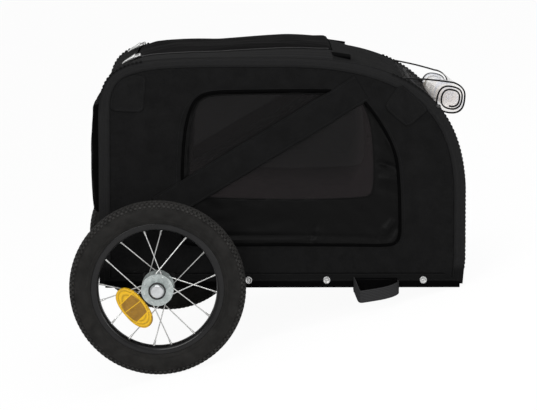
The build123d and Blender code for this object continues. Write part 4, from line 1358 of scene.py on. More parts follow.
def door_loop(grown):
    """The doorway's outline in places across and heights, with round upper corners."""
    half, top, corner = DOOR_HALF + grown, DOOR_TOP + grown, DOOR_CORNER + grown
    turn = np.linspace(0, math.pi / 2, 14)
    right = joined(half - corner + corner * np.cos(turn), top - corner + corner * np.sin(turn))
    left = right[::-1] * (-1, 1)
    low = DOOR_BOTTOM
    return spaced(np.vstack([(half, low), right, left, (-half, low)]), 420, closed=True)


def rear_shell(points):
    """Heights of a flat outline turned into runs along the shell's rear."""
    points = np.array(points, float)
    points[..., 1] = np.interp(points[..., 1], SHELL[:PEAK, 1], SHELL_RUN[:PEAK])
    return points


def level_line(half, run):
    """Places across the shell at one run, from one wall towards the other."""
    across = np.linspace(half, -half, 60)[1:-1]
    return joined(across, np.full(len(across), run))


def panel_outline(run):
    """The closed outline of a panel of the shell from wall to wall, and its half width."""
    half = cloth_half(run)
    outline = np.vstack([
        joined(half, run), level_line(half[-1], run[-1]),
        joined(-half[::-1], run[::-1]), level_line(-half[0], run[0]),
    ])
    return spaced(outline, 560, closed=True), float(half.max())


def make_rear(look):
    """The rear wall round its doorway."""
    top = run_at(HATCH_REAR)
    outer, half = panel_outline(np.linspace(3.0, top, 90))
    hole = rear_shell(door_loop(DOOR_GAP - 1))
    ring = between_loops(outer, hole, (0, 2, 6, 12), 12, DOOR_MIDDLE)
    relief = edged(len(ring), (0.2, 0.9, 1.1, 0.6), (0.8, 0.6))
    out = relief + 0.35 * waves(ring[..., 0], ring[..., 1], 70.0, 61)
    wall = shell_piece("rear_wall", ring, out, "oxford", "frame")
    thicken(wall, 2.4)
    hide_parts("rear_panel")
    size = (2 * half * MM, float(top) * MM)
    area = open_area(outer, hole, size)


def make_rear_door(look):
    """The door's cloth with its stitched edge."""
    loop = rear_shell(door_loop(0.0))
    loop[:, 1] = np.maximum(loop[:, 1], loop[:, 1].min() + 0.8)
    ring = filled_loop(loop, (0, 2, 6, 10, 11.5, 13), 14, DOOR_MIDDLE)
    y, along = ring[..., 0], ring[..., 1]
    relief = edged(len(ring), (0.0, 0.8, 0.9, 0.6, -0.6, 0.3))
    out = relief * 0.8 + 0.35 * waves(y, along, 80.0, 62)
    door = shell_piece("rear_door_cloth", ring, out, "oxford", None)
    thicken(door, 2.4)
    low = float(along.min())
    hinged(door, low, low + HINGE_BEND)
    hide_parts("rear_door")
    path = on_shell(y[4], along[4], 1.0)
    stitched(
        "rear_door_stitches", np.hstack([path, on_shell(y[4], along[4], 2.0) - path]), "rear_door"
    )


def make_rear_zip(look):
    """The zip round the doorway, less its foot, and the slider at one end of it."""
    zipped = rear_shell(door_loop(DOOR_GAP / 2))
    y, run = spaced(zipped[zipped[:, 1] > 28], 460).T
    places = on_shell(y, run, 0.4)
    ahead, outward = np.gradient(places, axis=0), on_shell(y, run, 1.4) - places
    keep = np.linalg.norm(ahead, axis=1) < 8
    points, quads = boxes(places[keep], ahead[keep], outward[keep], (1.2, 4.0, 1.6), 0.7)
    scattered("rear_door_zip", points, quads, "black_plastic", "frame")
    make_slider("rear_slider", DOOR_HALF + DOOR_GAP / 2, 48.0, RIGHT, "bright", 0.8)


def make_pocket(look):
    """The rear pocket: two layers that meet at a sewn edge, the outer one blown up by an
    inflated cloth and drawn in under its bound top."""
    low, high, half = POCKET_BOTTOM, POCKET_TOP, POCKET_HALF
    rows, cols = 64, 84
    v, u = np.linspace(0, 1, rows)[:, None], np.sin(np.linspace(-1, 1, cols) * math.pi / 2)[None]
    z = low + (high - low) * v
    y = u * half * (1 - 0.01 * np.sin(math.pi * v))
    round_u = np.clip(1 - np.abs(u) ** 70, 0, 1) ** 0.5
    round_v = np.clip(1 - np.abs(2 * v - 1) ** 40, 0, 1) ** 0.5
    belly = np.interp(v, (0, 0.05, 0.12, 0.6, 1.0), (0.7, 1.0, 1.1, 1.12, 1.02))
    stand = (POCKET - 0.2) * round_u * round_v * belly
    stand = stand + 0.8 * round_u * round_v * waves(y, z, 70.0, 71)
    points = joined(CABIN_REAR - 0.9 - stand, y, z)
    bag = Patch(points, points[..., 1:] * MM)
    # The pocket's bag and its binding take the darkened cloth, which is painted shade.
    bag = piece("rear_pocket_bag", bag, "pocket", "rear_door", facing=BACKWARDS)
    held = np.zeros((rows, cols), bool)
    held[:2] = held[-2:] = held[:, :2] = held[:, -2:] = True
    held[rows - 12 : rows - 9, ::6] = True
    inflate(bag, held.ravel(), 2.0, 4.5)
    thicken(bag, 0.9)
    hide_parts("rear_pocket")
    edge = np.array([(half, low), (half, high), (-half, high), (-half, low)])
    edge = spaced(rounded(edge, 1), 260, closed=True)
    path = joined(np.full(len(edge), CABIN_REAR - 1.6), edge[:, 0] * 0.995, edge[:, 1])
    binding = carried(path, flat_profile(7.0, 2.6, 12), BACKWARDS, True)
    piece("rear_pocket_binding", binding, "pocket", "rear_door")


def make_front(look):
    """The front: a bound frame of coarse cloth round a net, and the strip under them."""
    start, end = run_at(HOOD_FRONT), run_up(SILL_TOP, True)
    outer, half = panel_outline(np.linspace(start, end, 90))
    top, foot = ((cloth_half(run) - 40, run) for run in (start + 26, end - 18))
    hole = np.vstack([np.linspace(top, foot, 10), np.linspace(foot, top, 10) * (-1, 1)])
    hole = spaced(rounded(hole, 3), 480, closed=True)
    middle = (0.0, (start + end) / 2)
    ring = between_loops(outer, hole, (0, 2, 6, 12), 10, middle)
    y, along = ring[..., 0], ring[..., 1]
    bulge = 2.2 * np.exp(-(((along - run_up(190.0, True)) / 40) ** 2))
    bulge = bulge * np.clip(np.abs(y) / 160, 0, 1)
    relief = edged(len(ring), (0.2, 0.8, 1.0, 0.4), (0.7, 0.5))
    out = relief + 0.35 * waves(y, along, 60.0, 81) + bulge
    border = shell_piece("front_border", ring, out, "oxford", "frame")
    thicken(border, 2.2)
    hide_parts("front_screen")
    size = (2 * half * MM, (end - start) * MM)
    area = open_area(outer, hole, size)
    ring = filled_loop(hole, (0, 2.0), 16, middle)
    depth = np.linspace(0, 1, len(ring))[:, None]
    net = shell_piece("front_net", ring, -0.6 - 2.0 * np.sin(math.pi / 2 * depth), "net", "frame")
    size = extent(hole)
    normal = on_shell(*hole.T, 1.0) - on_shell(*hole.T, 0.0)
    binding = carried(on_shell(*hole.T, 0.6), flat_profile(8.0, 1.8, 12), normal, True)
    piece("front_net_binding", binding, "webbing", "frame")
    sill = shell_sheet(
        "front_sill_cloth", np.linspace(end + 0.5, SHELL_RUN[-1] - 3, 16), 0.0, 0.3, 50.0, 83
    )
    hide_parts("front_sill")


def make_front_pulls(look):
    """The small pale pull of the zip down each side of the front."""
    share = np.linspace(0, 1, 10)[:, None]
    across, up = flat_profile(4.2, 1.6, 12).T[:, None]
    x = CABIN_FRONT + 2.6 + up + 0.8 * np.sin(3 * share)
    y = -(wall_half(80.0) - 14) + across * (0.75 + 0.25 * share)
    tab = joined(x, y, 84 - 19 * share)
    for name, side in SIDES:
        piece(f"front_pull_{name}", tube(tab), "beige_plastic", "frame", side)


# ---- rain cover
# The roll's radius by its turns from the top, as a soft hand-rolled cover settles.
ROLL_TURNS = np.array([
    (0, 32), (0.12, 29.5), (0.25, 28), (0.5, 31), (0.66, 30.5), (0.8, 28), (1.0, 24), (1.25, 22.5),
    (1.5, 22.6), (1.75, 20), (2.0, 17.6), (2.25, 17), (2.5, 17), (2.75, 14.5), (3.0, 12.5),
    (3.3, 11.5), (3.7, 9.0), (4.1, 6.0),
])
KNOB_PLACE = np.array((560.0, -186.0, 347.0))


def cover_path(turned_points=420, straight_points=39):
    """The rolled cover seen from the side: from the hood to the roll's top, then a spiral
    whose radius is read by its turn. Gives its points, each one's share of the way to the
    roll, and its turns in it."""
    start = np.array((COVER_REAR, np.interp(COVER_REAR, *SHELL_TOP.T) + 1.2))
    turn = np.linspace(0, ROLL_TURNS[-1, 0], turned_points)
    radius = np.interp(turn, *ROLL_TURNS.T)
    radius = np.convolve(np.pad(radius, 9, "edge"), np.hanning(19) / np.hanning(19).sum(), "valid")
    angle = math.pi / 2 - 2 * math.pi * turn
    bumps = 0.035 * np.cos(4 * (angle - math.radians(37.0)))
    radius = radius * (1 + bumps * np.clip(turn / 0.2, 0, 1))
    spiral = joined(ROLL_X + radius * np.cos(angle), ROLL_Z + radius * np.sin(angle))
    reach = np.linspace(0, 1, straight_points + 1)[:-1]
    straight = start + (spiral[0] - start) * reach[:, None]
    straight[:, 1] += 1.6 * np.sin(math.pi * reach)
    share = np.r_[reach, np.ones(turned_points)]
    return np.vstack([straight, spiral]), share, np.r_[np.zeros(straight_points), turn]


def cover_places(path, share, turn, y):
    """Places of the cover: its far side sags and trails a little, its inner turns stand out
    at both ends."""
    slip = share * ((y + ROLL_HALF) / (2 * ROLL_HALF))
    out = y * (1 + 0.035 * np.clip(turn / 2.5, 0, 1))
    return joined(path[..., 0] - 7.0 * slip, out, path[..., 1] - 13.0 * slip)


def make_rain_cover(look):
    """The clear cover, one film from the hood into its roll, with a black bound edge round
    both of its sides and a strap's knob that holds the roll."""
    path, share, turn = cover_path()
    y = np.linspace(-ROLL_HALF + 1, ROLL_HALF - 1, 60)[None]
    run = runs(path)[:, None]
    wobble = 0.6 * waves(y * 0.6, run, 60.0, 91) * np.clip(run / 60, 0, 1)
    bent = path[:, None] + edge_normals(path)[:, None] * wobble[..., None]
    points = cover_places(bent, share[:, None], turn[:, None], y)
    uv = joined(y, run) * MM
    film = piece(
        "rain_film", Patch(points, uv), "film", "frame", facing=np.array((ROLL_X, 0.0, ROLL_Z))
    )
    thicken(film, 0.5, 0.0)
    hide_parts("rain_cover_roll", "rain_cover_sheet")
    bound = turn < 2.55
    for name, side in SIDES:
        edge_y = side * (ROLL_HALF - 0.6) + 0.6 * waves(run[bound, 0], 0 * run[bound, 0], 40.0, 93)
        ends = cover_places(path[bound], share[bound], turn[bound], edge_y)
        edging = carried(ends, flat_profile(3.0, 9.0, 12, 0.5), (0.0, 1.0, 0.0))
        piece(f"rain_binding_{name}", edging, "edging", "frame")
        along = np.linspace(-1, 1, 14)[:, None]
        radius = 3.8 * np.sqrt(np.clip(1 - along**2 * 0.985, 0, 1)) + 0.3
        across, up = circle(1.0, 14).T[:, None]
        ball = joined(5.2 * along, radius * across, radius * up)
        piece(f"cover_knob_{name}", tube(KNOB_PLACE + ball), "black_plastic", "frame", side)


# ---- small cloth pieces and metal
# The webbing loop's route: place along, place across from the rail's face, height.
STRAP_ROUTE = (
    (LOOP_FRONT, 3, -15), (LOOP_FRONT + 3, -6, -14), (LOOP_FRONT + 3, -14, -14),
    (LOOP_FRONT - 1, -22, -15.5), (LOOP_FRONT - 12, -31, -18.5), (LOOP_FRONT - 32, -38, -22),
    (LOOP_REAR + 34, -42, -25), (LOOP_REAR + 20, -43, -27), (LOOP_REAR + 15, -42, -27.5),
    (LOOP_REAR + 12, -36, -26), (LOOP_REAR + 7, -16, -16), (LOOP_REAR + 4, -4, -9),
    (LOOP_REAR + 4, 3, -7),
)


def make_webbing(look):
    """The webbing loop under the right rail: a flat strap on edge, round a loop with soft
    bends, and a black sheet on the wall behind it, painted shade for the shadow inside the loop."""
    route = np.array([(x, -FRAME_HALF - 2.5 + out, z) for x, out, z in STRAP_ROUTE])
    path = spaced(rounded(route, 2, closed=False), 150)
    strap = carried(path, flat_profile(LOOP_THICKNESS, LOOP_STRAP, 28, 0.2), (0.0, 0.0, 1.0))
    made = piece("webbing_strap", strap, "webbing", "frame")
    # A black sheet on the wall above and behind the strap: painted shade for the shadow inside the
    # loop.
    across, down = np.linspace(0, 1, 16)[None], np.linspace(0, 1, 10)[:, None]
    low, high = -26.0 + 10.0 * across**2, 3.0
    x = LOOP_REAR + 3 + (LOOP_FRONT - LOOP_REAR - 2) * across
    shadow_sheet = Patch(on_wall(x, high + (low - high) * down, 2.4))
    thicken(piece("strap_shadow_sheet", shadow_sheet, "piping", "frame", facing=ASIDE), 1.2)
    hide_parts("webbing_loop")


def make_rail_strip(look, name, side):
    """The black strip that closes the cloth's lower edge over the floor rail."""
    x = np.linspace(CABIN_REAR + 10, TOE_FRONT - 4, 120)
    path = on_wall(x, -10.0, 0.9 + 0.2 * waves(x, 0 * x, 80.0, 95))
    strip = carried(path, flat_profile(1.6, 13.0, 16, 0.3), (0.0, 0.0, 1.0))
    piece(f"rail_strip_{name}", strip, "piping", "frame", side)


STUDS = ((179.5, -1.5), (337.0, -1.5), (531.5, -1.5))
# Sections of a stud, and of a bolt's head of size one: distance from the middle, and height.
STUD = (
    (7.4, -0.6), (7.6, 0.6), (7.0, 1.6), (6.0, 2.0), (4.6, 1.6), (3.6, 0.8), (2.6, 0.7), (1.9, 1.1),
    (1.0, 1.3), (0.02, 1.35),
)
BOLT_HEAD = np.array([
    (1.0, 0.0), (1.0, 0.45), (0.9, 0.8), (0.72, 1.0), (0.55, 1.0), (0.5, 0.95), (0.5, 0.35),
    (0.02, 0.3),
])
PAINTED = (
    "base_frame", "side_hoop_right", "side_hoop_left", "side_brace_right", "side_brace_left",
    "cross_bar_rear", "cross_bar_roof", "cross_bar_front", "wheel_bracket_right",
    "wheel_bracket_left", "tow_arm", "tow_bracket",
)


def make_studs(look, name, side):
    """Round press studs along the lower hem: a rolled rim, a dish and a small middle."""
    radius, out = rounded(STUD, 2, closed=False).T[..., None]
    turn = around(28)
    studs = [
        Patch(
            on_wall(x + radius * np.cos(turn), z + radius * np.sin(turn), out + 1.6), None,
            (False, True),
        )
        for x, z in STUDS
    ]
    piece(f"press_studs_{name}", studs, "zinc_bright", "frame", side, facing=ASIDE)


def bolt_head(x, y, z, radius, height):
    """A domed bolt head with a six-sided socket in it, on a face that looks sideways."""
    turn = around(24)
    hexed = 1 / np.cos((turn + math.pi / 6) % (math.pi / 3) - math.pi / 6)
    reach, out = BOLT_HEAD.T[..., None]
    shape = radius * np.where(reach < 0.56, hexed * reach, reach)
    places = x + shape * np.cos(turn), y - height * out, z + shape * np.sin(turn)
    return Patch(joined(*places), None, (False, True))


def make_metalwork(look):
    """Finishes of the frame's own parts, and bolts on the wheel brackets."""
    for node in PAINTED:
        refinish(node, "frame")
    refinish("floor_board", "board")
    for node in ("tow_pin", "tow_coupling"):
        refinish(node, "zinc")
    y = -wall_half(HEM_BOTTOM) - CLOTH_GAP - 4.0
    for name, side in SIDES:
        refinish(f"axle_pin_{name}", "bright")
        heads = [bolt_head(x, y, -4.0, 4.2, 2.6) for x in (-24.0, 24.0)]
        piece(f"bracket_bolts_{name}", heads, "zinc", "frame", side, facing=ASIDE, smooth=False)


# ---- wheels
# Sections: distance from the axle, and from the wheel's middle plane.
TYRE = (
    (131.6, 12.8), (131.3, 14.2), (132.6, 15.4), (135.0, 16.4), (137.2, 18.0), (138.2, 18.6),
    (139.4, 18.4), (143.0, 20.6), (148.0, 22.0), (153.0, 22.4), (158.0, 22.0), (161.2, 21.2),
    (161.9, 21.6), (162.8, 21.0), (166.0, 18.8), (168.6, 16.4), (170.0, 13.6), (171.2, 8.0),
    (171.8, 3.0), (172.0, 0.0),
)
RIM = (
    (126.4, 0.0), (126.6, 8.0), (128.0, 12.0), (131.2, 12.2), (131.9, 13.4), (131.6, 14.8),
    (130.4, 15.2), (127.0, 15.0), (123.5, 14.8), (120.5, 13.6), (118.6, 11.4), (117.4, 8.0),
    (117.0, 4.0), (116.9, 0.0),
)
HUB_SEAL = (
    (14.0, HUB_CAP - 0.4), (14.0, HUB_CAP + 1.2), (16.6, HUB_CAP + 1.2), (17.4, HUB_CAP + 0.2),
    (17.4, HUB_CAP - 2.0),
)
SPOKE_HEAD = np.array([(2.4, -0.4), (2.2, 0.25), (1.3, 0.5), (0.03, 0.55)])
NIPPLE = np.array([(0.0, 2.6), (3.0, 2.6), (3.6, 2.1), (12.0, 1.8), (13.4, 1.2)])
# The tread's rows of blocks: distance from the middle plane and from the axle, length, width,
# height, lean in degrees, and shift by a share of the step.
TREAD = (
    (18.2, 165.6, 5.6, 4.4, 3.0, 52.0, 0.5), (13.2, 168.9, 6.8, 6.4, 3.4, 18.0, 0.0),
    (6.4, 170.8, 7.4, 4.6, 3.6, 6.0, 0.5), (0.0, 171.4, 6.6, 4.2, 3.6, 0.0, 0.0),
)
TYRE_STEPS, TREAD_BLOCKS = 220, 112


def both_ways(profile):
    """A half section and its mirror image as one closed section, with no point on the wheel's
    middle plane twice."""
    mirrored = (np.asarray(profile, float) * (1, -1))[::-1]
    ends_on_plane = profile[0][1] == 0
    return np.vstack([profile, mirrored[1:-1] if ends_on_plane else mirrored[1:]])


def make_tyre(look, name, side):
    """The tyre: a section with its moulded rings turned about the axle, and seven rows of
    blocks round the tread."""
    section = rounded(both_ways(TYRE), 1)
    turn = np.r_[around(TYRE_STEPS), 2 * math.pi][None]
    out = np.r_[runs(section), 0][: len(section) + 1, None]
    uv = joined(turn * 160, out) * MM
    made = Patch(revolved(section, TYRE_STEPS), uv, (True, True))
    tyre = piece(f"tyre_rubber_{name}", made, "tyre", f"wheel_{name}", side)
    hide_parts(f"tyre_{name}")
    blocks = []
    for outwards, radius, length, width, height, tip, shift in TREAD:
        a = around(TREAD_BLOCKS, shift)
        radial = joined(np.cos(a), 0 * a, np.sin(a))
        along = joined(-np.sin(a), 0 * a, np.cos(a))
        for way in (1, -1) if outwards else (1,):
            lean = math.radians(tip) * way
            places = radial * radius + np.array((0, WHEEL_Y - way * outwards, 0))
            up = radial * math.cos(lean) + np.array(ASIDE) * math.sin(lean)
            found, quads = boxes(places, along, up, (length, width, height), 0.8)
            blocks.append(found)
    # The blocks' finish is the paler copy of the tyre's rubber: painted highlight.
    scattered(f"tread_{name}", np.concatenate(blocks), quads, "tread", f"wheel_{name}", side)


def make_rim(look, name, side):
    """The rim's rolled section turned about the axle, and the spokes' nipples in it."""
    hoop = Patch(revolved(rounded(both_ways(RIM), 1), 200), None, (True, True))
    rim = piece(f"rim_hoop_{name}", hoop, "rim", f"wheel_{name}", side)
    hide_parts(f"rim_{name}")
    along, radius = NIPPLE.T[..., None]
    nipples = []
    for hub_end, rim_end in spoke_ends():
        run = rim_end - hub_end
        run = run / np.linalg.norm(run)
        path = rim_end + run * 2.5 - run * along
        nipple = carried(path, circle(1.0, 8), (0.0, 1.0, 0.3))
        nipple.points = path[:, None] + (nipple.points - path[:, None]) * radius[..., None]
        nipple.points = nipple.points + np.array((0, WHEEL_Y, 0))
        nipples.append(nipple)
    piece(f"nipples_{name}", nipples, "spoke", f"wheel_{name}", side)


def spoke_ends():
    """Hub and rim ends of the spokes, from the wheel's middle, as the frame's wheel has them."""
    pairs = []
    for quarter in range(4):
        for place, step in enumerate(SPOKE_STEPS):
            rim_angle = math.radians(SPOKE_START + 90 * quarter + step)
            hub_angle = rim_angle + math.radians(SPOKE_LEAD if place > 1 else -SPOKE_TRAIL)
            y = (HUB_HALF - 1.5) * (1 if place % 2 else -1)
            pairs.append([
                np.array((radius * math.cos(angle), across, radius * math.sin(angle)))
                for radius, angle, across in (
                    (SPOKE_CIRCLE_R, hub_angle, y), (RIM_INNER_R - SPOKE_R / 2, rim_angle, 0.0),
                )
            ])
    return pairs


def make_hub(look, name, side):
    """Hub trim: the spokes' bent heads on each flange, and a black seal round the button."""
    refinish(f"hub_{name}", "hub")
    turn = around(10)
    radius, out = SPOKE_HEAD.T[..., None]
    for label, way in (("outer", -1.0), ("inner", 1.0)):
        y = WHEEL_Y + way * (HUB_HALF + out)
        heads = [
            Patch(
                joined(x + radius * np.cos(turn), y, z + radius * np.sin(turn)), None, (False, True)
            )
            for (x, across, z), _ in spoke_ends() if across * way > 0
        ]
        piece(
            f"spoke_heads_{label}_{name}", heads, "zinc", f"wheel_{name}", side,
            facing=(0.0, way, 0.0),
        )
    seal = Patch(revolved(rounded(HUB_SEAL, 1), 60), None, (True, True))
    piece(f"hub_seal_{name}", seal, "black_plastic", f"wheel_{name}", side)


def reflector_bed(radial, tangent):
    """How far out and how steep the steepest outer spoke lies that the reflector is clipped to."""
    beds = []
    for hub_end, rim_end in spoke_ends():
        rise = (rim_end - hub_end) @ radial
        share = (rim_end @ radial - REFLECTOR_R) / rise
        across = (rim_end + (hub_end - rim_end) * share) @ tangent
        if hub_end[1] < 0 < share < 1 and abs(across) < REFLECTOR_LENGTH / 2:
            beds.append((-hub_end[1] * share, math.atan2(-hub_end[1], rise)))
    return max(beds)


def make_reflector(look, name, side):
    """The oval reflector between the spokes: a crowned lens with a smooth middle and prismed
    ends parted by thin ribs, in a narrow rim, on the plane of the outer spokes."""
    a, outwards = REFLECTOR_ANGLE, np.array(ASIDE)
    radial = np.array((math.cos(a), 0, math.sin(a)))
    tangent = np.array((-math.sin(a), 0, math.cos(a)))
    lift, slope = reflector_bed(radial, tangent)
    face = outwards * math.cos(slope) + radial * math.sin(slope)
    face /= np.linalg.norm(face)
    up = np.cross(face, tangent)
    seat = np.array((0, WHEEL_Y, 0)) + radial * REFLECTOR_R
    seat = seat + outwards * (lift + SPOKE_R) - face * 0.1
    wave = joined(np.cos(around(96)), np.sin(around(96)))
    loop = np.sign(wave) * np.abs(wave) ** 0.86 * (REFLECTOR_LENGTH / 2, REFLECTOR_HEIGHT / 2)
    loop = spaced(loop, 96, closed=True)
    ring = filled_loop(loop * 0.985, (0, 0.6, 1.4), 26, (0.0, 0.0))
    u, v = ring[..., 0], ring[..., 1]
    crown = np.clip(1 - (u / 48) ** 2 - (v / 26) ** 2, 0, 1) ** 0.7
    ribs = (np.exp(-(((np.abs(u) - 16.5) / 0.7) ** 2)) + 0.6 * np.exp(-((u / 0.6) ** 2))) * 0.8
    height = REFLECTOR - 1.6 + 1.9 * crown + ribs * np.clip(crown * 4, 0, 1)
    flat = seat + u[..., None] * tangent + v[..., None] * up
    path = seat + loop[:, :1] * tangent + loop[:, 1:] * up + face * (REFLECTOR / 2 - 0.4)
    rim = carried(path, flat_profile(1.8, REFLECTOR - 0.6, 12), tuple(face), True)
    for label, made, facing in (
        ("lens", Patch(flat + height[..., None] * face, ring * MM, (False, True)), tuple(face)),
        ("rim", rim, None),
        ("back", Patch(flat + 0.3 * face, ring * MM, (False, True)), tuple(-face)),
    ):
        found = piece(
            f"reflector_{label}_{name}", made, "amber", f"wheel_{name}", side, facing=facing
        )
        if label == "lens":
            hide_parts(f"reflector_{name}")


# ---- camera, floor and light
EYE = np.array((181.9, -4651.3, 934.2))
AHEAD, ACROSS = np.array((0.00842, 0.98477, -0.17365)), np.array((0.99996, -0.00855, 0.0))
WHITE = (1.0, 1.0, 1.0)


def stand(data, place, right, up, back):
    """Puts a camera or a lamp at a place of the model, turned by its three directions."""
    made = linked(bpy.data.objects.new(data.name, data))
    made.matrix_world = Matrix([*np.column_stack([right, up, back, place]).tolist(), (0, 0, 0, 1)])
    return made


def make_camera(look):
    """A camera level with the towing frame, a long way off to the right and a little above."""
    camera = bpy.data.cameras.new("camera")
    camera.lens, camera.sensor_width, camera.clip_end = 150.84, 36.0, 100.0
    ahead, across = (turned(way / np.linalg.norm(way)) for way in (AHEAD, ACROSS))
    made = stand(camera, parked(EYE), across, np.cross(across, ahead), -ahead)
    bpy.context.scene.camera = made


def make_floor(look):
    """A wide pale floor: it shows nearly white and keeps the shadow."""
    turn = around(64)
    radius = np.array([0.01, 1.0, 6.0, 90.0])[:, None]
    points = joined(radius * np.cos(turn), radius * np.sin(turn), 0 * radius * turn)
    points = points.reshape(-1, 3)
    mesh = bpy.data.meshes.new("floor")
    mesh.from_pydata(
        points.tolist(), [], grid_faces(4, 64, False, True).tolist() + [list(range(64))]
    )
    floor = linked(bpy.data.objects.new("floor", mesh))
    book = Finish("floor_paper", Roughness=0.9, Specular_IOR_Level=0.1)
    book.set(Base_Color=book.mix(book.noise(3.0, 2.0, 0.5), (0.86, 0.86, 0.86), (0.9, 0.9, 0.9)))
    glow = book.node("ShaderNodeEmission", None, {"Color": WHITE, "Strength": 1.0})
    share = book.node("ShaderNodeLightPath", output="Is Camera Ray") * look.floor_white
    paper = Wire(book, book.shader.outputs[0])
    book.join(
        book.out.inputs[0], book.node("ShaderNodeMixShader", None, {0: share, 1: paper, 2: glow})
    )
    mesh.materials.append(book.material)


def make_world(look):
    """A white room to the eye and through film, and a plain grey light on surfaces."""
    world = bpy.data.worlds.new("studio")
    bpy.context.scene.world = world
    world.use_nodes = True
    tree = world.node_tree
    tree.nodes.clear()
    out, blend, room, light, path, seen = (
        tree.nodes.new(f"ShaderNode{kind}")
        for kind in ("OutputWorld", "MixShader", "Background", "Background", "LightPath", "Math")
    )
    for background, strength in ((room, 1.0), (light, look.room_light)):
        background.inputs["Color"].default_value = (*WHITE, 1.0)
        background.inputs["Strength"].default_value = strength
    seen.operation = "MAXIMUM"
    for start, end in (
        (path.outputs["Is Camera Ray"], seen.inputs[0]),
        (path.outputs["Is Transmission Ray"], seen.inputs[1]),
        (seen.outputs[0], blend.inputs[0]), (light.outputs[0], blend.inputs[1]),
        (room.outputs[0], blend.inputs[2]), (blend.outputs[0], out.inputs[0]),
    ):
        tree.links.new(start, end)


def make_lamp(name, place, aim, width, height, power):
    """A soft box: an area lamp at a place of the towing frame, turned to its aim."""
    lamp = bpy.data.lights.new(name, "AREA")
    lamp.shape, lamp.size, lamp.size_y, lamp.energy = "RECTANGLE", width, height, power
    where = parked(place)
    back = where - parked(aim)
    back = back / np.linalg.norm(back)
    right = np.cross((0.0, 0.0, 1.0), back)
    right /= np.linalg.norm(right)
    stand(lamp, where, right, np.cross(back, right), back)


def make_stage(look):
    """Camera, floor, room and three soft lamps: overhead, at the rear and at the front."""
    make_camera(look)
    make_floor(look)
    make_world(look)
    make_lamp("top_box", (250, -300, 2600), (250, 0, 250), 2.4, 2.0, look.top_power)
    make_lamp("key_box", (-900, -2600, 1500), (200, 0, 250), 1.6, 1.4, look.key_power)
    make_lamp("fill_box", (2000, -2300, 700), (300, 0, 200), 1.4, 1.4, look.fill_power)
    bpy.context.scene.view_settings.view_transform = "Standard"


# ---- the add-on
def colour(name, text, default):
    """A colour property."""
    return FloatVectorProperty(
        name=name, description=text, default=default, size=3, min=0.0, max=1.0, subtype="COLOR"
    )


def length(name, text, default):
    """A length property, in metres."""
    return FloatProperty(
        name=name, description=text, default=default, min=0.0, soft_max=0.1, precision=4,
        unit="LENGTH",
    )


def factor(name, text, default):
    """A share, from nought to one."""
    return FloatProperty(
        name=name, description=text, default=default, min=0.0, max=1.0, subtype="FACTOR"
    )


def power(name, text, default):
    """A lamp's power."""
    return FloatProperty(name=name, description=text, default=default, min=0.0, subtype="POWER")


class TrailerLook(bpy.types.PropertyGroup):
    """Sizes and colours of the trailer's cloth, trim and light."""

    weave_pitch: length("Weave pitch", "Spacing of the coarse cloth's threads", 0.0017)
    net_pitch: length("Net pitch", "Spacing of the window net's threads", 0.0012)
    hem: length("Hem width", "Width of the walls' hems at the rear and front", 0.021)
    top_hem: length("Roof hem width", "Width of the walls' hems along the roof", 0.018)
    piping: length("Piping", "Diameter of the piping round the windows", 0.006)
    roof_crown: length("Hatch crown", "How far the hatch's cover stands over the roof", 0.007)
    cloth_colour: colour("Coarse cloth", "Colour of the walls", (0.0056, 0.0056, 0.0057))
    nylon_colour: colour(
        "Smooth cloth", "Colour round the windows and of the hatch", (0.0042, 0.0041, 0.0042)
    )
    net_colour: colour("Net", "Colour of the window net", (0.0062, 0.0059, 0.0060))
    # The net's second colour serves its random bloom and the paler edges that are painted light.
    net_tint: colour("Net bloom", "Second colour of the net", (0.0120, 0.0104, 0.0108))
    frame_colour: colour("Frame paint", "Colour of the tubes", (0.003, 0.003, 0.0031))
    rubber_colour: colour("Rubber", "Colour of the tyres", (0.0085, 0.0082, 0.0078))
    amber_deep: colour("Amber, deep", "Reflector colour in its middle", (0.24, 0.12, 0.008))
    amber_bright: colour("Amber, bright", "Reflector colour on its border", (0.58, 0.335, 0.006))
    film_cover: factor("Film cover", "How much the clear film hides", 0.22)
    room_light: FloatProperty(
        name="Room light", description="Strength of the even light", default=0.55, min=0.0,
        soft_max=2.0,
    )
    floor_white: factor("Floor white", "Share of the floor that shows white", 0.95)
    top_power: power("Top lamp", "Power of the overhead lamp", 40.0)
    key_power: power("Key lamp", "Power of the lamp at the rear", 45.0)
    fill_power: power("Fill lamp", "Power of the lamp at the front", 25.0)


def each_side(context, *makers):
    """Calls the makers for the right side and then for the left."""
    look = context.scene.trailer_look
    for name, side in SIDES:
        for make in makers:
            make(look, name, side)
    return {"FINISHED"}


def make_all(context, *makers):
    """Calls the makers of the pieces that the trailer has once."""
    for make in makers:
        make(context.scene.trailer_look)
    return {"FINISHED"}


class TRAILER_OT_stage(bpy.types.Operator):
    """Adds the camera, the floor, the room and the lamps"""

    bl_idname = "trailer.stage"
    bl_label = "Stage"

    def execute(self, context):
        return make_all(context, make_stage)


class TRAILER_OT_walls(bpy.types.Operator):
    """Adds the side walls, their hems, edges, patches and press studs"""

    bl_idname = "trailer.walls"
    bl_label = "Side walls"

    def execute(self, context):
        return each_side(
            context, make_side_wall, make_edge_binding, make_wall_patches, make_rail_strip,
            make_studs,
        )


class TRAILER_OT_windows(bpy.types.Operator):
    """Adds the windows with their nets, piping and slanting bands"""

    bl_idname = "trailer.windows"
    bl_label = "Windows"

    def execute(self, context):
        return each_side(context, make_window, make_band)


class TRAILER_OT_roof(bpy.types.Operator):
    """Adds the roof's hood, the hatch and its zips"""

    bl_idname = "trailer.roof"
    bl_label = "Roof and hatch"

    def execute(self, context):
        return make_all(context, make_roof, make_hatch, make_roof_zips, make_zip_shadow_wedges)


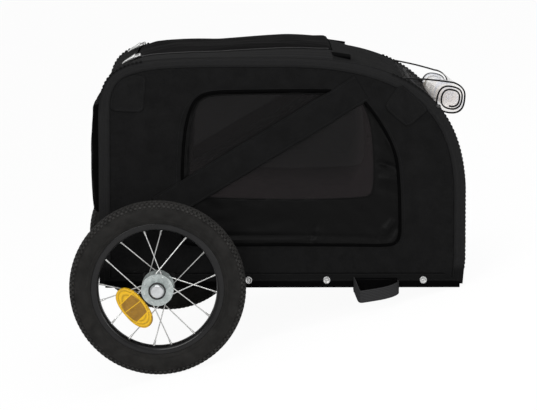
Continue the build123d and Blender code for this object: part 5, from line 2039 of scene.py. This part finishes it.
class TRAILER_OT_rear(bpy.types.Operator):
    """Adds the rear wall, the door and its pocket"""

    bl_idname = "trailer.rear"
    bl_label = "Rear"

    def execute(self, context):
        return make_all(context, make_rear, make_rear_door, make_rear_zip, make_pocket)


class TRAILER_OT_front(bpy.types.Operator):
    """Adds the front net, its bound frame and the strip under it"""

    bl_idname = "trailer.front"
    bl_label = "Front"

    def execute(self, context):
        return make_all(context, make_front, make_front_pulls)


class TRAILER_OT_rain_cover(bpy.types.Operator):
    """Adds the rolled clear rain cover"""

    bl_idname = "trailer.rain_cover"
    bl_label = "Rain cover"

    def execute(self, context):
        return make_all(context, make_rain_cover)


class TRAILER_OT_metalwork(bpy.types.Operator):
    """Finishes the frame, and adds its bolts and the webbing loop"""

    bl_idname = "trailer.metalwork"
    bl_label = "Frame and webbing"

    def execute(self, context):
        return make_all(context, make_metalwork, make_webbing)


class TRAILER_OT_wheels(bpy.types.Operator):
    """Adds the tyres, rims, hubs' trim and reflectors"""

    bl_idname = "trailer.wheels"
    bl_label = "Wheels"

    def execute(self, context):
        return each_side(context, make_tyre, make_rim, make_hub, make_reflector)


OPERATORS = (
    TRAILER_OT_stage, TRAILER_OT_walls, TRAILER_OT_windows, TRAILER_OT_roof, TRAILER_OT_rear,
    TRAILER_OT_front, TRAILER_OT_rain_cover, TRAILER_OT_metalwork, TRAILER_OT_wheels,
)


class TRAILER_PT_panel(bpy.types.Panel):
    """Lists the trailer's pieces and their settings"""

    bl_label = "Dog trailer"
    bl_idname = "TRAILER_PT_panel"
    bl_space_type = "VIEW_3D"
    bl_region_type = "UI"
    bl_category = "Trailer"

    def draw(self, context):
        for made in OPERATORS:
            self.layout.operator(made.bl_idname)
        for name in TrailerLook.__annotations__:
            self.layout.prop(context.scene.trailer_look, name)


def register():
    """Registers the settings, the operators and the panel."""
    for made in (TrailerLook, *OPERATORS, TRAILER_PT_panel):
        bpy.utils.register_class(made)
    bpy.types.Scene.trailer_look = PointerProperty(type=TrailerLook)


def unregister():
    """Takes them away again, last first."""
    del bpy.types.Scene.trailer_look
    for made in (TRAILER_PT_panel, *reversed(OPERATORS), TrailerLook):
        bpy.utils.unregister_class(made)


def main():
    """Makes every piece in order."""
    register()
    for made in OPERATORS:
        group, name = made.bl_idname.split(".")
        if getattr(getattr(bpy.ops, group), name)() != {"FINISHED"}:
            raise RuntimeError(f"{made.bl_label} was not made")


if __name__ == "__main__":
    main()
